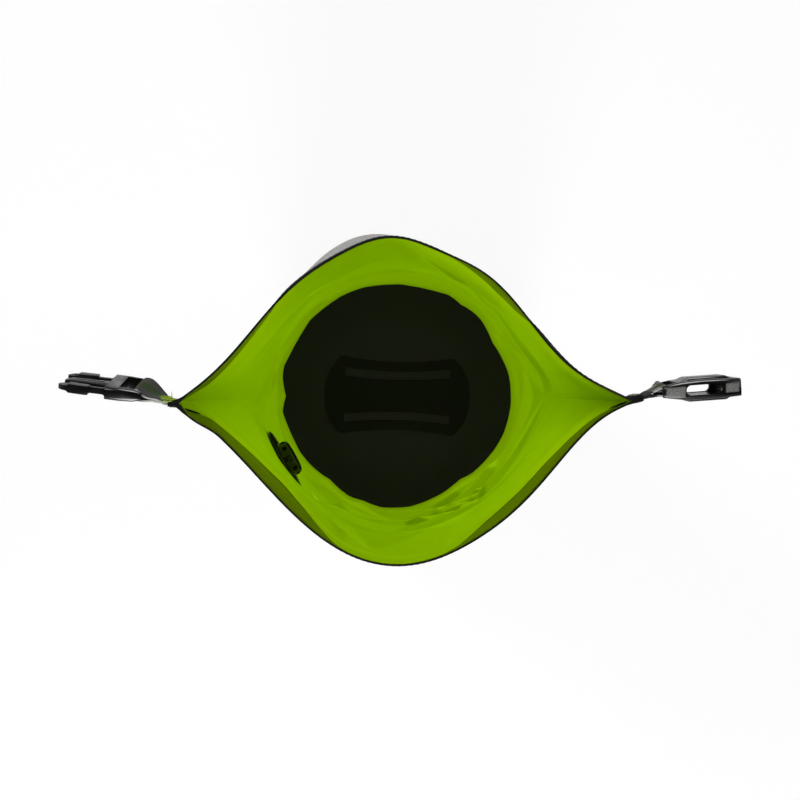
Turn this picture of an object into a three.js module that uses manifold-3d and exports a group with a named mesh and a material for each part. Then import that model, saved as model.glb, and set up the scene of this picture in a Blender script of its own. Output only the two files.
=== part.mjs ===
// A roll-top dry bag, open and standing on its base: a coated fabric tube on a black base cup, two
// closure strips round the mouth, a side-release buckle on webbing loops, a base handle and an air valve.
// Millimetres, +Z up. The origin is on the floor under the middle of the base, and +X points to the socket.

import * as THREE from "three";
import { mergeVertices } from "three/addons/utils/BufferGeometryUtils.js";
import Module from "manifold-3d";

const wasm = await Module();
wasm.setup();

// Fits shared by all pieces
const layerGap = 0.3; // between pieces that are welded or sewn face to face
const overrun = 2; // how far a cutting tool runs past what it cuts
const degree = Math.PI / 180;
const quarterTurn = Math.PI / 2;

// Bag body
const openHeight = 480; // floor to mouth, unrolled
const bodyRadius = 100; // round part of the tube, at the middle of its wall
const wallThickness = 0.7;
const facingThickness = 0.5;
const bindingHeight = 0.8;
const mouthShare = 1.255; // axis to each end of the mouth, in body radii: 1 is round and half pi is flat
const mouthHalfLength = mouthShare * bodyRadius;
const collarHeight = 28; // closure strip, from its lower edge to the mouth
const roundBelow = 60; // the tube is round up to this height, and turns to the mouth's shape above it
const segmentsRound = 72;

// Shape of each lip, as shares of its rise: half waves along the mouth, and a lean to one end
const backLipShares = { first: 0.95, third: 0.07, fifth: -0.03, lean: -0.07 };
const frontLipShares = { first: 0.955, third: 0.065, fifth: -0.028, lean: -0.035 };

// The wall swells out under the collar, at the back on the plug's side
const swellReach = 12;
const swellAzimuth = 110 * degree;
const swellHalfAngle = 30 * degree;
const swellDepth = 170; // from the collar down

// Heights at which the wall's section is drawn: below the valve's flat, over it, and up to the collar
const lowerLevelShares = [0, 0.3, 0.6, 0.83, 1];
const valveLevelShares = [0.5, 1];
const upperLevelShares = [0.15, 0.38, 0.58, 0.74, 0.88, 1];

// Base cup
const baseThickness = 1.2;
const cupThickness = 1.0;
const cupHeight = 24;
const cupEdgeRadius = 2;
const footWidth = 22; // ring of the base that stands on the floor
const dishRise = 7.8; // the middle of the base stands this far off the floor, over the handle
const dishSlope = 10;

// Base handle: a patch with two slots, seen inside as the doubler and outside with a slack band.
// The shares are of the body's radius, so that the handle fits in the base's dish.
const patchLengthShare = 0.64;
const patchCornerShares = [0.52, 0.34]; // along the handle and across it
const patchWaistShare = 0.298;
const patchEndShare = 0.19; // how far out from its axis each end stays nearly straight
const windowLengthShare = 0.465;
const windowWidthShare = 0.213;
const bandLengthShare = 0.6;
const bandFlatShare = 0.26;
const bandWidthShare = 0.14;
const patchCornerRadius = 5;
const slotFlare = 3; // how far the slots' ends lie outside their waist
const doublerThickness = 1.0;
const patchThickness = 1.4;
const bandThickness = 1.8;
const windowHalfLength = windowLengthShare * bodyRadius;
const slotOuterY = windowWidthShare * bodyRadius; // outer edge of a slot at the waist
const bandHalfWidth = bandWidthShare * bodyRadius;

// Closure strips and webbing tabs
const stripThickness = 0.8;
const tailLength = 6; // strips run on past the crease
const tailStart = 3.2; // crease to where the tails lie flat on the webbing
const anchorStart = 1.6; // crease to the sewn end of the webbing
const plugTailLean = 7 * degree;
const socketTailLean = 8 * degree;
const webbingWidth = 25;
const webbingThickness = 1.1;
const tabHeight = openHeight - collarHeight / 2;

// Buckle, for 25 mm webbing
const barRadius = 2.2;
const barClearance = 0.4;
const buckleHalfWidth = 17;
const webbingSideClearance = 0.5;

// How far each bar lies from its crease, which way its half points, and how far it rolls about its length
const plugBarReach = 21.8;
const plugBarShift = 6.1; // towards the back
const plugYaw = 173 * degree;
const plugRoll = -13 * degree;
const plugLoopBelly = 1.4;
const plugLoopBack = 2.4; // the loop's slack side
const socketBarReach = 18.3;
const socketBarShift = 5.9;
const socketYaw = 4 * degree;
const socketRoll = 2.5 * degree;
const socketLoopBelly = 2.2;
const wrapHalfTurn = 75 * degree; // how far a loop follows its bar to each side
const wrapSteps = 6;

// Plug
const plugFrameLength = 20;
const plugEndMargin = 2.6; // bar's axis to the frame's end
const plugSlotLength = 13; // from the frame's end
const plugFrameHalfThickness = 3.6;
const plugEdgeRadius = 1.8;
const prongLength = 26.5;
const prongHalfThickness = 2.45;
const armThickness = 2.4;
const armOuter = 13.2; // outer face of an arm behind its latch
const armSeatDepth = 0.75;
const latchOuter = 16.2;
const latchShoulder = 9.6; // frame to the latch's shoulder
const latchCornerRadius = 0.9;
const armNoseInner = 8.8;
const armNoseOuter = 13.4;
const armNoseDepth = 3;
const armSlimShare = 0.72; // thickness of an arm behind its latch, as a share of the latch's
const armTipShare = 0.62; // the same at its nose
const armTipLength = 6.2;
const armTaper = 1.2;
const tongueHalfWidth = 3.8;
const tongueHalfThickness = 2.3;
const tongueTipHalfWidth = 2.2;
const tongueSetBack = 1.2; // the tongue ends short of the arms
const tongueGrooveDepth = 0.5;
const tongueGrooveWidth = 1.4;

// Socket
const socketLength = 43;
const socketEndMargin = 2.4;
const socketSlotLength = 9;
const socketHalfThickness = 5.5; // at its middle
const socketNoseHalfThickness = 3.2;
const socketMouthHalfThickness = 4.9;
const socketEdgeRadius = 2.2;
const cavityStart = 12;
const cavityHalfWidth = 14.3;
const cavityHalfThickness = 3.1;
const cavityFlare = 0.8;
const sideWindowStart = 12.6;
const sideWindowEnd = 32.5;
const sideWindowHalfHeight = 2.8;
const panelRise = 1.2; // raised grip panel on each broad face
const panelWidthShare = 0.6;

// Air valve
const valveHeight = 198;
const valveAzimuth = 208.8 * degree;
const valveSink = 0.2; // how far the wall lies flattened in under the valve
const valvePlane = bodyRadius - valveSink;
const valveFlatHalf = 29;
const valveFlatFade = 28;
const flangeRadius = 25;
const flangeThickness = 1.4;
const barrelRadius = 10.5;
const barrelBore = 8;
const barrelLength = 6.2;
const cageRadius = 13.6;
const cageDepth = 7;
const cageRound = 3.4; // shoulder of the cage
const cageWall = 1.8;
const cageWindows = 10;
const cageWindowWidth = 4.2;
const gasketThickness = 0.8;
const gasketRadius = 22;
const ringRadius = 20;
const ringThickness = 1.8;
const capRadius = 16.5;
const capHeight = 6.4;
const capWall = 1.4;
const capEdge = 1.2; // chamfer round its face
const capLobes = 10;
const capLobeRadius = 2.2;
const capVents = 6;
const capVentRadius = 1.3;
const hubRadius = 2.8;
const stemRadius = 1.1;
const stemClearance = 0.3;
const stemKnobRadius = 2;
const stemKnobHeight = 1.6;
const seatThickness = 1.2;
const spokeWidth = 1.6;
const spokes = 3;
const diaphragmRadius = 7.3;
const diaphragmThickness = 0.7;
const diaphragmLift = 0.8;

// Side seam: where it starts, as a share of the way round, and its width in segments of the wall
const seamStartShare = 1 / 9;
const seamSegments = 2;
const seamThickness = 0.5;

// Materials
const material = (color, roughness, metalness = 0) =>
  new THREE.MeshStandardMaterial({ color, roughness, metalness });
const limeFabric = material(0x76a502, 0.45);
const greyFabric = material(0xb4b3b1, 0.7);
const facingFabric = material(0x4d6a08, 0.6);
const blackFabric = material(0x191a15, 0.6);
const stripRubber = material(0x141511, 0.55);
const webbing = material(0x5c5e5a, 0.85);
const bucklePlastic = material(0x1b1c1a, 0.45);
const valvePlastic = material(0x161812, 0.5);
const softRubber = material(0x22241f, 0.65);

// Geometry helpers

const smooth = (share) => {
  const t = Math.min(1, Math.max(0, share));
  return t * t * (3 - 2 * t);
};

// A closed body through sections of equally many points. It is closed on itself, or capped at both ends.
function loft(sections, closedOnItself) {
  const around = sections[0].length;
  const rings = closedOnItself ? sections.length : sections.length - 1;
  const positions = sections.flat().flatMap((p) => [p.x, p.y, p.z]);
  const index = [];
  for (let i = 0; i < rings; i++) {
    const next = (i + 1) % sections.length;
    for (let j = 0; j < around; j++) {
      const k = (j + 1) % around;
      const [a, b, c, d] = [i * around + j, i * around + k, next * around + k, next * around + j];
      index.push(a, b, c, a, c, d);
    }
  }
  if (!closedOnItself) {
    const last = (sections.length - 1) * around;
    for (let j = 1; j < around - 1; j++) {
      index.push(0, j + 1, j, last, last + j, last + j + 1);
    }
  }
  const geometry = new THREE.BufferGeometry();
  geometry.setAttribute("position", new THREE.Float32BufferAttribute(positions, 3));
  geometry.setIndex(index);
  return facingOut(geometry);
}

function facingOut(geometry) {
  if (solid(geometry).volume() >= 0) return geometry;
  const index = geometry.index.array;
  for (let i = 0; i < index.length; i += 3) [index[i + 1], index[i + 2]] = [index[i + 2], index[i + 1]];
  return geometry;
}

// A geometry as a solid, for joining and cutting
function solid(geometry) {
  const bare = geometry.index ? geometry.toNonIndexed() : geometry.clone();
  const merged = mergeVertices(
    new THREE.BufferGeometry().setAttribute("position", bare.getAttribute("position")), 1e-4);
  return new wasm.Manifold(new wasm.Mesh({
    numProp: 3,
    vertProperties: new Float32Array(merged.attributes.position.array),
    triVerts: new Uint32Array(merged.index.array),
  }));
}

function geometryOf(body) {
  const made = body.getMesh();
  const geometry = new THREE.BufferGeometry();
  geometry.setAttribute("position", new THREE.BufferAttribute(new Float32Array(made.vertProperties), 3));
  geometry.setIndex(new THREE.BufferAttribute(new Uint32Array(made.triVerts), 1));
  return geometry;
}

const join = (first, ...others) => others.reduce((all, next) => all.add(next), first);
const cut = (first, ...tools) => tools.reduce((left, tool) => left.subtract(tool), first);

function named(name, geometry, finish) {
  const mesh = new THREE.Mesh(geometry, finish);
  mesh.name = name;
  return mesh;
}

function box(sizeX, sizeY, sizeZ, x = 0, y = 0, z = 0) {
  return solid(new THREE.BoxGeometry(sizeX, sizeY, sizeZ).translate(x, y, z));
}

// A turned piece: profile points are (radius, height along +Z)
function turned(points, segments = 36) {
  const profile = points.map(([radius, height]) => new THREE.Vector2(radius, height));
  const geometry = new THREE.LatheGeometry(profile, segments).rotateX(quarterTurn);
  return facingOut(mergeVertices(withoutExtras(geometry), 1e-4));
}

function withoutExtras(geometry) {
  geometry.deleteAttribute("normal");
  geometry.deleteAttribute("uv");
  return geometry;
}

// A flat outline drawn in X and Y, raised along +Z from the height given
function raised(shape, thickness, from, curveSegments = 6) {
  const options = { depth: thickness, bevelEnabled: false, curveSegments };
  return withoutExtras(new THREE.ExtrudeGeometry(shape, options)).translate(0, 0, from);
}

// Bag body: the section of the tube at any height

// Height of a lip above the mouth's long axis, for a rise of 1
function lipShare(shares, x) {
  const t = quarterTurn * (x / mouthHalfLength);
  return shares.first * Math.cos(t) + shares.third * Math.cos(3 * t)
    + shares.fifth * Math.cos(5 * t) + shares.lean * Math.sin(2 * t);
}

function lipLine(shares, rise) {
  const steps = 240;
  return Array.from({ length: steps + 1 }, (_, i) => {
    const x = mouthHalfLength * Math.cos((Math.PI * i) / steps);
    return new THREE.Vector2(x, rise * lipShare(shares, x));
  });
}

function lengthOf(line) {
  return line.slice(1).reduce((sum, p, i) => sum + p.distanceTo(line[i]), 0);
}

// The fabric doesn't stretch, so each lip rises just as far as half the tube's girth lets it
function fittedLip(shares) {
  const girth = Math.PI * bodyRadius;
  let [low, high] = [0, 2 * bodyRadius];
  for (let i = 0; i < 50; i++) {
    const middle = (low + high) / 2;
    if (lengthOf(lipLine(shares, middle)) < girth) low = middle;
    else high = middle;
  }
  return lipLine(shares, low);
}

function pointAlong(line, share) {
  let left = share * lengthOf(line);
  for (let i = 1; i < line.length; i++) {
    const step = line[i].distanceTo(line[i - 1]);
    if (left <= step) return line[i - 1].clone().lerp(line[i], left / step);
    left -= step;
  }
  return line[line.length - 1].clone();
}

const halfRound = segmentsRound / 2;
const backLip = fittedLip(backLipShares);
const frontLip = fittedLip(frontLipShares);
const mouth = Array.from({ length: segmentsRound }, (_, k) => {
  if (k <= halfRound) return pointAlong(backLip, k / halfRound);
  const p = pointAlong(frontLip, (segmentsRound - k) / halfRound);
  return new THREE.Vector2(p.x, -p.y);
});

const collarBottom = openHeight - collarHeight;
const stripTop = openHeight - bindingHeight - layerGap;
const valveNormal = new THREE.Vector2(Math.cos(valveAzimuth), Math.sin(valveAzimuth));
const valveAlong = new THREE.Vector2(-valveNormal.y, valveNormal.x);

// Middle of the wall at segment k and height z
function wallPoint(k, z) {
  const angle = (2 * Math.PI * k) / segmentsRound;
  const round = new THREE.Vector2(Math.cos(angle), Math.sin(angle)).multiplyScalar(bodyRadius);
  const p = round.lerp(mouth[k % segmentsRound], smooth((z - roundBelow) / (collarBottom - roundBelow)));
  const down = Math.min(1, Math.max(0, (collarBottom - z) / swellDepth));
  const off = Math.min(1, Math.abs(angle - swellAzimuth) / swellHalfAngle);
  const swell = swellReach * Math.sin(Math.PI * down ** 0.6) ** 2 * Math.cos(quarterTurn * off) ** 2;
  p.add(p.clone().normalize().multiplyScalar(swell));
  const beside = Math.abs(p.dot(valveAlong));
  const above = Math.abs(z - valveHeight);
  const flat = smooth(1 - (beside - valveFlatHalf) / valveFlatFade)
    * smooth(1 - (above - valveFlatHalf) / valveFlatFade) * (p.dot(valveNormal) > 0 ? 1 : 0);
  return p.add(valveNormal.clone().multiplyScalar(flat * (valvePlane - p.dot(valveNormal))));
}

// The same point, moved outwards square to the wall
function wallOffset(k, z, distance) {
  const n = segmentsRound;
  const [before, here, after] = [k + n - 1, k + n, k + n + 1].map((i) => wallPoint(i % n, z));
  const normal = (from, to) => new THREE.Vector2(to.y - from.y, from.x - to.x).normalize();
  const [n1, n2] = [normal(before, here), normal(here, after)];
  const mitre = n1.clone().add(n2).divideScalar(1 + n1.dot(n2));
  const p = here.add(mitre.multiplyScalar(distance));
  return new THREE.Vector3(p.x, p.y, z);
}

const baseTop = baseThickness;
const wallFoot = baseTop + layerGap;
const between = (low, high, shares) => shares.map((share) => low + share * (high - low));
const wallLevels = [
  ...between(wallFoot, valveHeight - valveFlatHalf, lowerLevelShares),
  ...between(valveHeight - valveFlatHalf, valveHeight + valveFlatHalf, valveLevelShares),
  ...between(valveHeight + valveFlatHalf, collarBottom, upperLevelShares),
  stripTop,
];

function shellBetween(levels, inner, outer, segments) {
  const side = (distance) => levels.map((z) => segments.map((k) => wallOffset(k, z, distance)));
  return [...side(outer), ...side(inner).reverse()];
}

function wallPanel() {
  const all = Array.from({ length: segmentsRound }, (_, k) => k);
  const half = wallThickness / 2;
  const tube = solid(loft(shellBetween(wallLevels, -half, half, all), true));
  const bore = turned([[0, -overrun - half], [barrelRadius + layerGap, -overrun - half],
    [barrelRadius + layerGap, overrun + half], [0, overrun + half]], 32);
  return geometryOf(cut(tube, solid(onValveAxis(bore))));
}

// Puts a piece made along +Z, outwards, on the valve's axis with its zero at the middle of the wall
function onValveAxis(geometry) {
  return geometry.clone()
    .rotateY(quarterTurn).rotateZ(valveAzimuth)
    .translate(valvePlane * valveNormal.x, valvePlane * valveNormal.y, valveHeight);
}

// Overlapped side seam of the tube, on the outside
function sideSeam() {
  const levels = wallLevels.filter((z) => z > cupHeight && z < collarBottom);
  const inner = wallThickness / 2 + layerGap;
  const start = Math.round(seamStartShare * segmentsRound);
  const segments = Array.from({ length: seamSegments + 1 }, (_, i) => start + i);
  const sections = levels.map((z) => [
    ...segments.map((k) => wallOffset(k, z, inner + seamThickness)),
    ...segments.map((k) => wallOffset(k, z, inner)).reverse(),
  ]);
  return loft(sections, false);
}

// Base cup: a foot ring on the floor, a dished middle and a wall welded round the tube
function baseCup() {
  const inner = bodyRadius + wallThickness / 2 + layerGap;
  const outer = inner + cupThickness;
  const footInner = outer - footWidth;
  const dishOuter = footInner - dishSlope;
  const corner = Array.from({ length: 4 }, (_, i) => {
    const turn = quarterTurn * (i / 3);
    return [outer - cupEdgeRadius + cupEdgeRadius * Math.sin(turn), cupEdgeRadius * (1 - Math.cos(turn))];
  });
  return turned([
    [0, dishRise], [dishOuter, dishRise], [footInner, 0], ...corner, [outer, cupHeight], [inner, cupHeight],
    [inner, baseTop], [footInner, baseTop],
    [dishOuter, dishRise + baseThickness], [0, dishRise + baseThickness],
  ], segmentsRound);
}

// Outline of the handle's patch: bowed ends and hollow sides with rounded corners
function patchShape() {
  const shape = new THREE.Shape();
  const [cx, cy] = patchCornerShares.map((share) => share * bodyRadius);
  const r = patchCornerRadius;
  const control = 2 * patchWaistShare * bodyRadius - cy; // a quadratic side passes through the waist
  const [end, straight] = [patchLengthShare, patchEndShare].map((share) => share * bodyRadius);
  shape.moveTo(-cx + r, -cy);
  shape.quadraticCurveTo(0, -control, cx - r, -cy);
  shape.quadraticCurveTo(cx, -cy, cx + r / 2, -cy + r);
  shape.quadraticCurveTo(end, -straight, end, 0);
  shape.quadraticCurveTo(end, straight, cx + r / 2, cy - r);
  shape.quadraticCurveTo(cx, cy, cx - r, cy);
  shape.quadraticCurveTo(0, control, -cx + r, cy);
  shape.quadraticCurveTo(-cx, cy, -cx - r / 2, cy - r);
  shape.quadraticCurveTo(-end, straight, -end, 0);
  shape.quadraticCurveTo(-end, -straight, -cx - r / 2, -cy + r);
  shape.quadraticCurveTo(-cx, -cy, -cx + r, -cy);
  return shape;
}

// One slot beside the band, on the side given by sign
function slotPath(sign) {
  const path = new THREE.Path();
  const outer = slotOuterY * sign;
  const end = (slotOuterY + slotFlare) * sign;
  const inner = bandHalfWidth * sign;
  const innerEnd = (bandHalfWidth + slotFlare) * sign;
  path.moveTo(-windowHalfLength, end);
  path.quadraticCurveTo(0, 2 * outer - end, windowHalfLength, end);
  path.lineTo(windowHalfLength, innerEnd);
  path.quadraticCurveTo(0, 2 * inner - innerEnd, -windowHalfLength, innerEnd);
  path.closePath();
  return path;
}

function doubler() {
  const shape = patchShape();
  shape.holes.push(slotPath(1), slotPath(-1));
  return raised(shape, doublerThickness, dishRise + baseThickness + layerGap);
}

function handlePatch() {
  const shape = patchShape();
  const window = new THREE.Path();
  const end = slotOuterY + slotFlare;
  window.moveTo(-windowHalfLength, end);
  window.quadraticCurveTo(0, 2 * slotOuterY - end, windowHalfLength, end);
  window.lineTo(windowHalfLength, -end);
  window.quadraticCurveTo(0, end - 2 * slotOuterY, -windowHalfLength, -end);
  window.closePath();
  shape.holes.push(window);
  return raised(shape, patchThickness, dishRise - layerGap - patchThickness);
}

// The band hangs slack from the patch's ends and touches the floor
function handleBand() {
  const seat = dishRise - 2 * layerGap - patchThickness - bandThickness;
  const halfLength = bandLengthShare * bodyRadius;
  const flatHalf = bandFlatShare * bodyRadius;
  const steps = 20;
  const sections = Array.from({ length: steps + 1 }, (_, i) => {
    const x = halfLength * (2 * (i / steps) - 1);
    const low = seat * smooth((Math.abs(x) - flatHalf) / (windowHalfLength - flatHalf));
    const [half, high] = [bandHalfWidth, low + bandThickness];
    const corners = [[-half, low], [half, low], [half, high], [-half, high]];
    return corners.map(([y, z]) => new THREE.Vector3(x, y, z));
  });
  return loft(sections, false);
}

// Collar: strips outside, facings inside, bindings over both, and the webbing between the strips' tails

const crease = wallOffset(0, openHeight, wallThickness / 2).x; // outer face of the wall at the mouth's ends
const strandOffset = (webbingThickness + layerGap) / 2; // each of a tab's two layers, off its middle
const pairHalf = strandOffset + webbingThickness / 2;
const tailInner = pairHalf + layerGap;
const tailOuter = tailInner + stripThickness;
const stripInner = wallThickness / 2 + layerGap;
const stripOuter = stripInner + stripThickness;
const facingOuter = -wallThickness / 2 - layerGap;
const facingInner = facingOuter - facingThickness;

// A point past the crease at one end of the mouth: along the tail, and square to it
function tailPoint(end, along, across, z) {
  const lean = end > 0 ? socketTailLean : Math.PI - plugTailLean;
  const [c, s] = [Math.cos(lean), Math.sin(lean)];
  return new THREE.Vector3(end * crease + c * along - s * across, s * along + c * across, z);
}

const rectangle = (inner, outer, low, high) => [[inner, low], [outer, low], [outer, high], [inner, high]];

// Sections along one lip, from one end of the mouth to the other: side is +1 at the back, -1 at the front
function lipSections(side, corners) {
  return Array.from({ length: halfRound - 1 }, (_, i) => {
    const k = side > 0 ? i + 1 : segmentsRound - 1 - i;
    return corners.map(([offset, z]) => wallOffset(k, z, offset));
  });
}

function tailSections(side, end, corners) {
  const sections = [tailStart, tailLength].map((along) =>
    corners.map(([across, z]) => tailPoint(end, along, side * end * across, z)));
  return end > 0 ? sections.reverse() : sections;
}

// A band along a lip that runs out on to the tails at both ends
function bandWithTails(side, lipCorners, tailCorners) {
  return loft([
    ...tailSections(side, 1, tailCorners),
    ...lipSections(side, lipCorners),
    ...tailSections(side, -1, tailCorners),
  ], false);
}

function closureStrip(side) {
  return bandWithTails(side, rectangle(stripInner, stripOuter, collarBottom, stripTop),
    rectangle(tailInner, tailOuter, collarBottom, stripTop));
}

function rimBinding(side) {
  const low = openHeight - bindingHeight;
  return bandWithTails(side, rectangle(facingInner, stripOuter, low, openHeight),
    rectangle(tailInner, tailOuter, low, openHeight));
}

function facing(side) {
  return loft(lipSections(side, rectangle(facingInner, facingOuter, collarBottom, stripTop)), false);
}

// The end of the tab's webbing, sewn between the tails
function tabAnchor(end) {
  const corners = rectangle(-pairHalf, pairHalf, tabHeight - webbingWidth / 2, tabHeight + webbingWidth / 2);
  const sections = [anchorStart, tailLength].map((along) =>
    corners.map(([across, z]) => tailPoint(end, along, across, z)));
  return loft(sections, false);
}

// Where a tab bends at its root, just past the tails
const tabRoot = (end) => tailPoint(end, tailLength + layerGap + pairHalf, 0, tabHeight);

const plugBar = {
  x: -mouthHalfLength - plugBarReach, y: plugBarShift, yaw: plugYaw, roll: plugRoll,
};
const socketBar = {
  x: mouthHalfLength + socketBarReach, y: socketBarShift, yaw: socketYaw, roll: socketRoll,
};

// A webbing loop: out from its root, round the bar of a buckle half, and back. Each side has its belly.
function tabLoop(end, bar, leftBelly, rightBelly) {
  const root = tabRoot(end);
  const reach = Math.hypot(bar.x - root.x, bar.y - root.y);
  const heading = Math.atan2(bar.y - root.y, bar.x - root.x);
  const half = webbingThickness / 2;
  const wrap = barRadius + barClearance + half;
  const side = (sign, belly) => [
    new THREE.Vector2(0, sign * strandOffset),
    new THREE.Vector2(0.15 * reach, sign * strandOffset),
    new THREE.Vector2(0.5 * reach, sign * belly),
  ];
  const turns = Array.from({ length: wrapSteps + 1 }, (_, i) => wrapHalfTurn * (1 - (2 * i) / wrapSteps));
  const round = turns.map((t) => new THREE.Vector2(reach + wrap * Math.cos(t), wrap * Math.sin(t)));
  const middle = new THREE.SplineCurve([...side(1, leftBelly), ...round, ...side(-1, rightBelly).reverse()])
    .getPoints(32);
  const offset = (distance) => middle.map((p, i) => {
    const before = middle[Math.max(0, i - 1)];
    const along = middle[Math.min(middle.length - 1, i + 1)].clone().sub(before).normalize();
    return new THREE.Vector2(p.x - along.y * distance, p.y + along.x * distance);
  });
  const shape = new THREE.Shape([
    ...offset(half), ...rootArc(-1), ...offset(-half).reverse(), ...rootArc(1).reverse(),
  ]);
  const geometry = withoutExtras(new THREE.ExtrudeGeometry(shape, {
    depth: webbingWidth, steps: 3, bevelEnabled: false,
  })).translate(0, 0, -webbingWidth / 2);
  leanWithBar(geometry, bar, heading, reach);
  return geometry.rotateZ(heading).translate(root.x, root.y, root.z);
}

// Each layer's end is rounded about the line where the tab bends
function rootArc(side) {
  const edge = Math.asin(layerGap / 2 / pairHalf);
  return Array.from({ length: 4 }, (_, i) => {
    const turn = quarterTurn + (quarterTurn - edge) * ((i + 1) / 4);
    return new THREE.Vector2(pairHalf * Math.cos(turn), side * pairHalf * Math.sin(turn));
  });
}

// The loop stands upright at its root and turns with the bar at its far end
function leanWithBar(geometry, bar, heading, reach) {
  const upright = new THREE.Vector3(0, 0, 1);
  const axis = upright.clone().applyEuler(new THREE.Euler(bar.roll, 0, bar.yaw - heading, "ZYX"));
  const full = new THREE.Quaternion().setFromUnitVectors(upright, axis);
  const position = geometry.getAttribute("position");
  for (let i = 0; i < position.count; i++) {
    const along = position.getX(i);
    const turn = new THREE.Quaternion().slerp(full, smooth(along / (reach - barRadius)));
    const p = new THREE.Vector3(0, position.getY(i), position.getZ(i)).applyQuaternion(turn);
    position.setXYZ(i, along + p.x, p.y, p.z);
  }
}

// Buckle halves are drawn with X from the bar outwards, Y through the thickness and Z across the width

// A rounded rectangle in Y and Z at x
function roundedSection(x, halfThickness, halfWidth, radius) {
  const points = [];
  const corners = [[1, 1], [-1, 1], [-1, -1], [1, -1]];
  for (const [quarter, [sy, sz]] of corners.entries()) {
    for (let i = 0; i <= 3; i++) {
      const turn = quarterTurn * (quarter + i / 3);
      points.push(new THREE.Vector3(
        x,
        sy * (halfThickness - radius) + radius * Math.cos(turn),
        sz * (halfWidth - radius) + radius * Math.sin(turn),
      ));
    }
  }
  return points;
}

// An outline in X and Z, raised through the thickness and centred on it
function acrossThickness(shape, halfThickness, curveSegments = 6) {
  return raised(shape, 2 * halfThickness, -halfThickness, curveSegments).rotateX(quarterTurn);
}

function crossBar(halfLength) {
  return solid(new THREE.CylinderGeometry(barRadius, barRadius, 2 * halfLength, 16).rotateX(quarterTurn));
}

const slotHalfWidth = webbingWidth / 2 + webbingSideClearance;
const barHalfLength = (slotHalfWidth + buckleHalfWidth) / 2; // it ends inside the rails

// Plug: bar, rails, cross member and guide tongue
const plugFront = plugFrameLength - plugEndMargin;

function plugFrame() {
  const back = -plugEndMargin;
  const at = (share) => back + share * plugFrameLength;
  const [t, w, r] = [plugFrameHalfThickness, buckleHalfWidth, plugEdgeRadius];
  const body = solid(loft([
    roundedSection(back, 0.62 * t, 0.9 * w, 0.75 * r),
    roundedSection(at(0.25), 0.92 * t, 0.98 * w, r),
    roundedSection(at(0.6), t, w, r),
    roundedSection(plugFront, t, w, r),
  ], false));
  const slotMiddle = back + (plugSlotLength - overrun) / 2;
  const slot = box(plugSlotLength + overrun, 4 * t, 2 * slotHalfWidth, slotMiddle);
  const tongueEnd = plugFront + prongLength - tongueSetBack;
  const tongue = solid(loft([
    roundedSection(plugFront - armSeatDepth, tongueHalfThickness, tongueHalfWidth,
      0.3 * tongueHalfThickness),
    roundedSection(tongueEnd - tongueHalfWidth, 0.87 * tongueHalfThickness, 0.9 * tongueHalfWidth,
      0.3 * tongueHalfThickness),
    roundedSection(tongueEnd, 0.5 * tongueHalfThickness, tongueTipHalfWidth, 0.25 * tongueHalfThickness),
  ], false));
  const grooves = [1, -1].map((side) => box(0.62 * prongLength, 2 * tongueGrooveDepth, tongueGrooveWidth,
    plugFront + 0.45 * prongLength, side * tongueHalfThickness));
  const seats = [1, -1].map((side) => box(2 * armSeatDepth, 2 * (prongHalfThickness + layerGap),
    armThickness + 2 * layerGap, plugFront, 0, side * (armOuter - armThickness / 2)));
  return geometryOf(cut(join(cut(body, slot), crossBar(barHalfLength), tongue), ...grooves, ...seats));
}

// Side view of an arm, to be kept of it: full at the seat and at the latch, slim between and at the nose
function armSide(root, shoulder, tip) {
  const full = prongHalfThickness;
  const [slim, nose] = [armSlimShare, armTipShare].map((share) => share * full);
  const edge = [
    [root, full], [root + armTaper, full], [root + 2 * armTaper, slim], [shoulder - armTaper / 2, slim],
    [shoulder, full], [tip - armTipLength, full], [tip - armTipLength + armTaper, nose], [tip, 0.8 * nose],
  ];
  const outline = [...edge, ...edge.map(([x, y]) => [x, -y]).reverse()];
  const shape = new THREE.Shape(outline.map(([x, y]) => new THREE.Vector2(x, y)));
  return solid(raised(shape, 4 * buckleHalfWidth, -2 * buckleHalfWidth));
}

// One springy arm of the plug, with its latch. Its root sits in the frame's seat.
function plugArm(side) {
  const root = plugFront - armSeatDepth + layerGap;
  const shoulder = plugFront + latchShoulder;
  const tip = plugFront + prongLength;
  const inner = armOuter - armThickness;
  const noseMiddle = (armNoseInner + armNoseOuter) / 2;
  const alongLatch = (share) => shoulder + share * (tip - shoulder);
  const corner = latchCornerRadius;
  const shape = new THREE.Shape();
  shape.moveTo(root, inner);
  shape.lineTo(shoulder - armThickness, inner);
  shape.quadraticCurveTo(alongLatch(0.35), inner, tip - armNoseDepth, armNoseInner);
  shape.quadraticCurveTo(tip, armNoseInner, tip, noseMiddle);
  shape.quadraticCurveTo(tip, armNoseOuter, tip - armNoseDepth, (armNoseOuter + latchOuter) / 2);
  shape.quadraticCurveTo(alongLatch(0.5), latchOuter, shoulder + corner, latchOuter);
  shape.quadraticCurveTo(shoulder, latchOuter, shoulder, latchOuter - corner);
  shape.lineTo(shoulder, armOuter);
  shape.lineTo(root, armOuter);
  shape.closePath();
  const flat = solid(acrossThickness(shape, prongHalfThickness));
  const geometry = geometryOf(flat.intersect(armSide(root, shoulder, tip)));
  return side > 0 ? geometry : geometry.rotateX(Math.PI);
}

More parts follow.
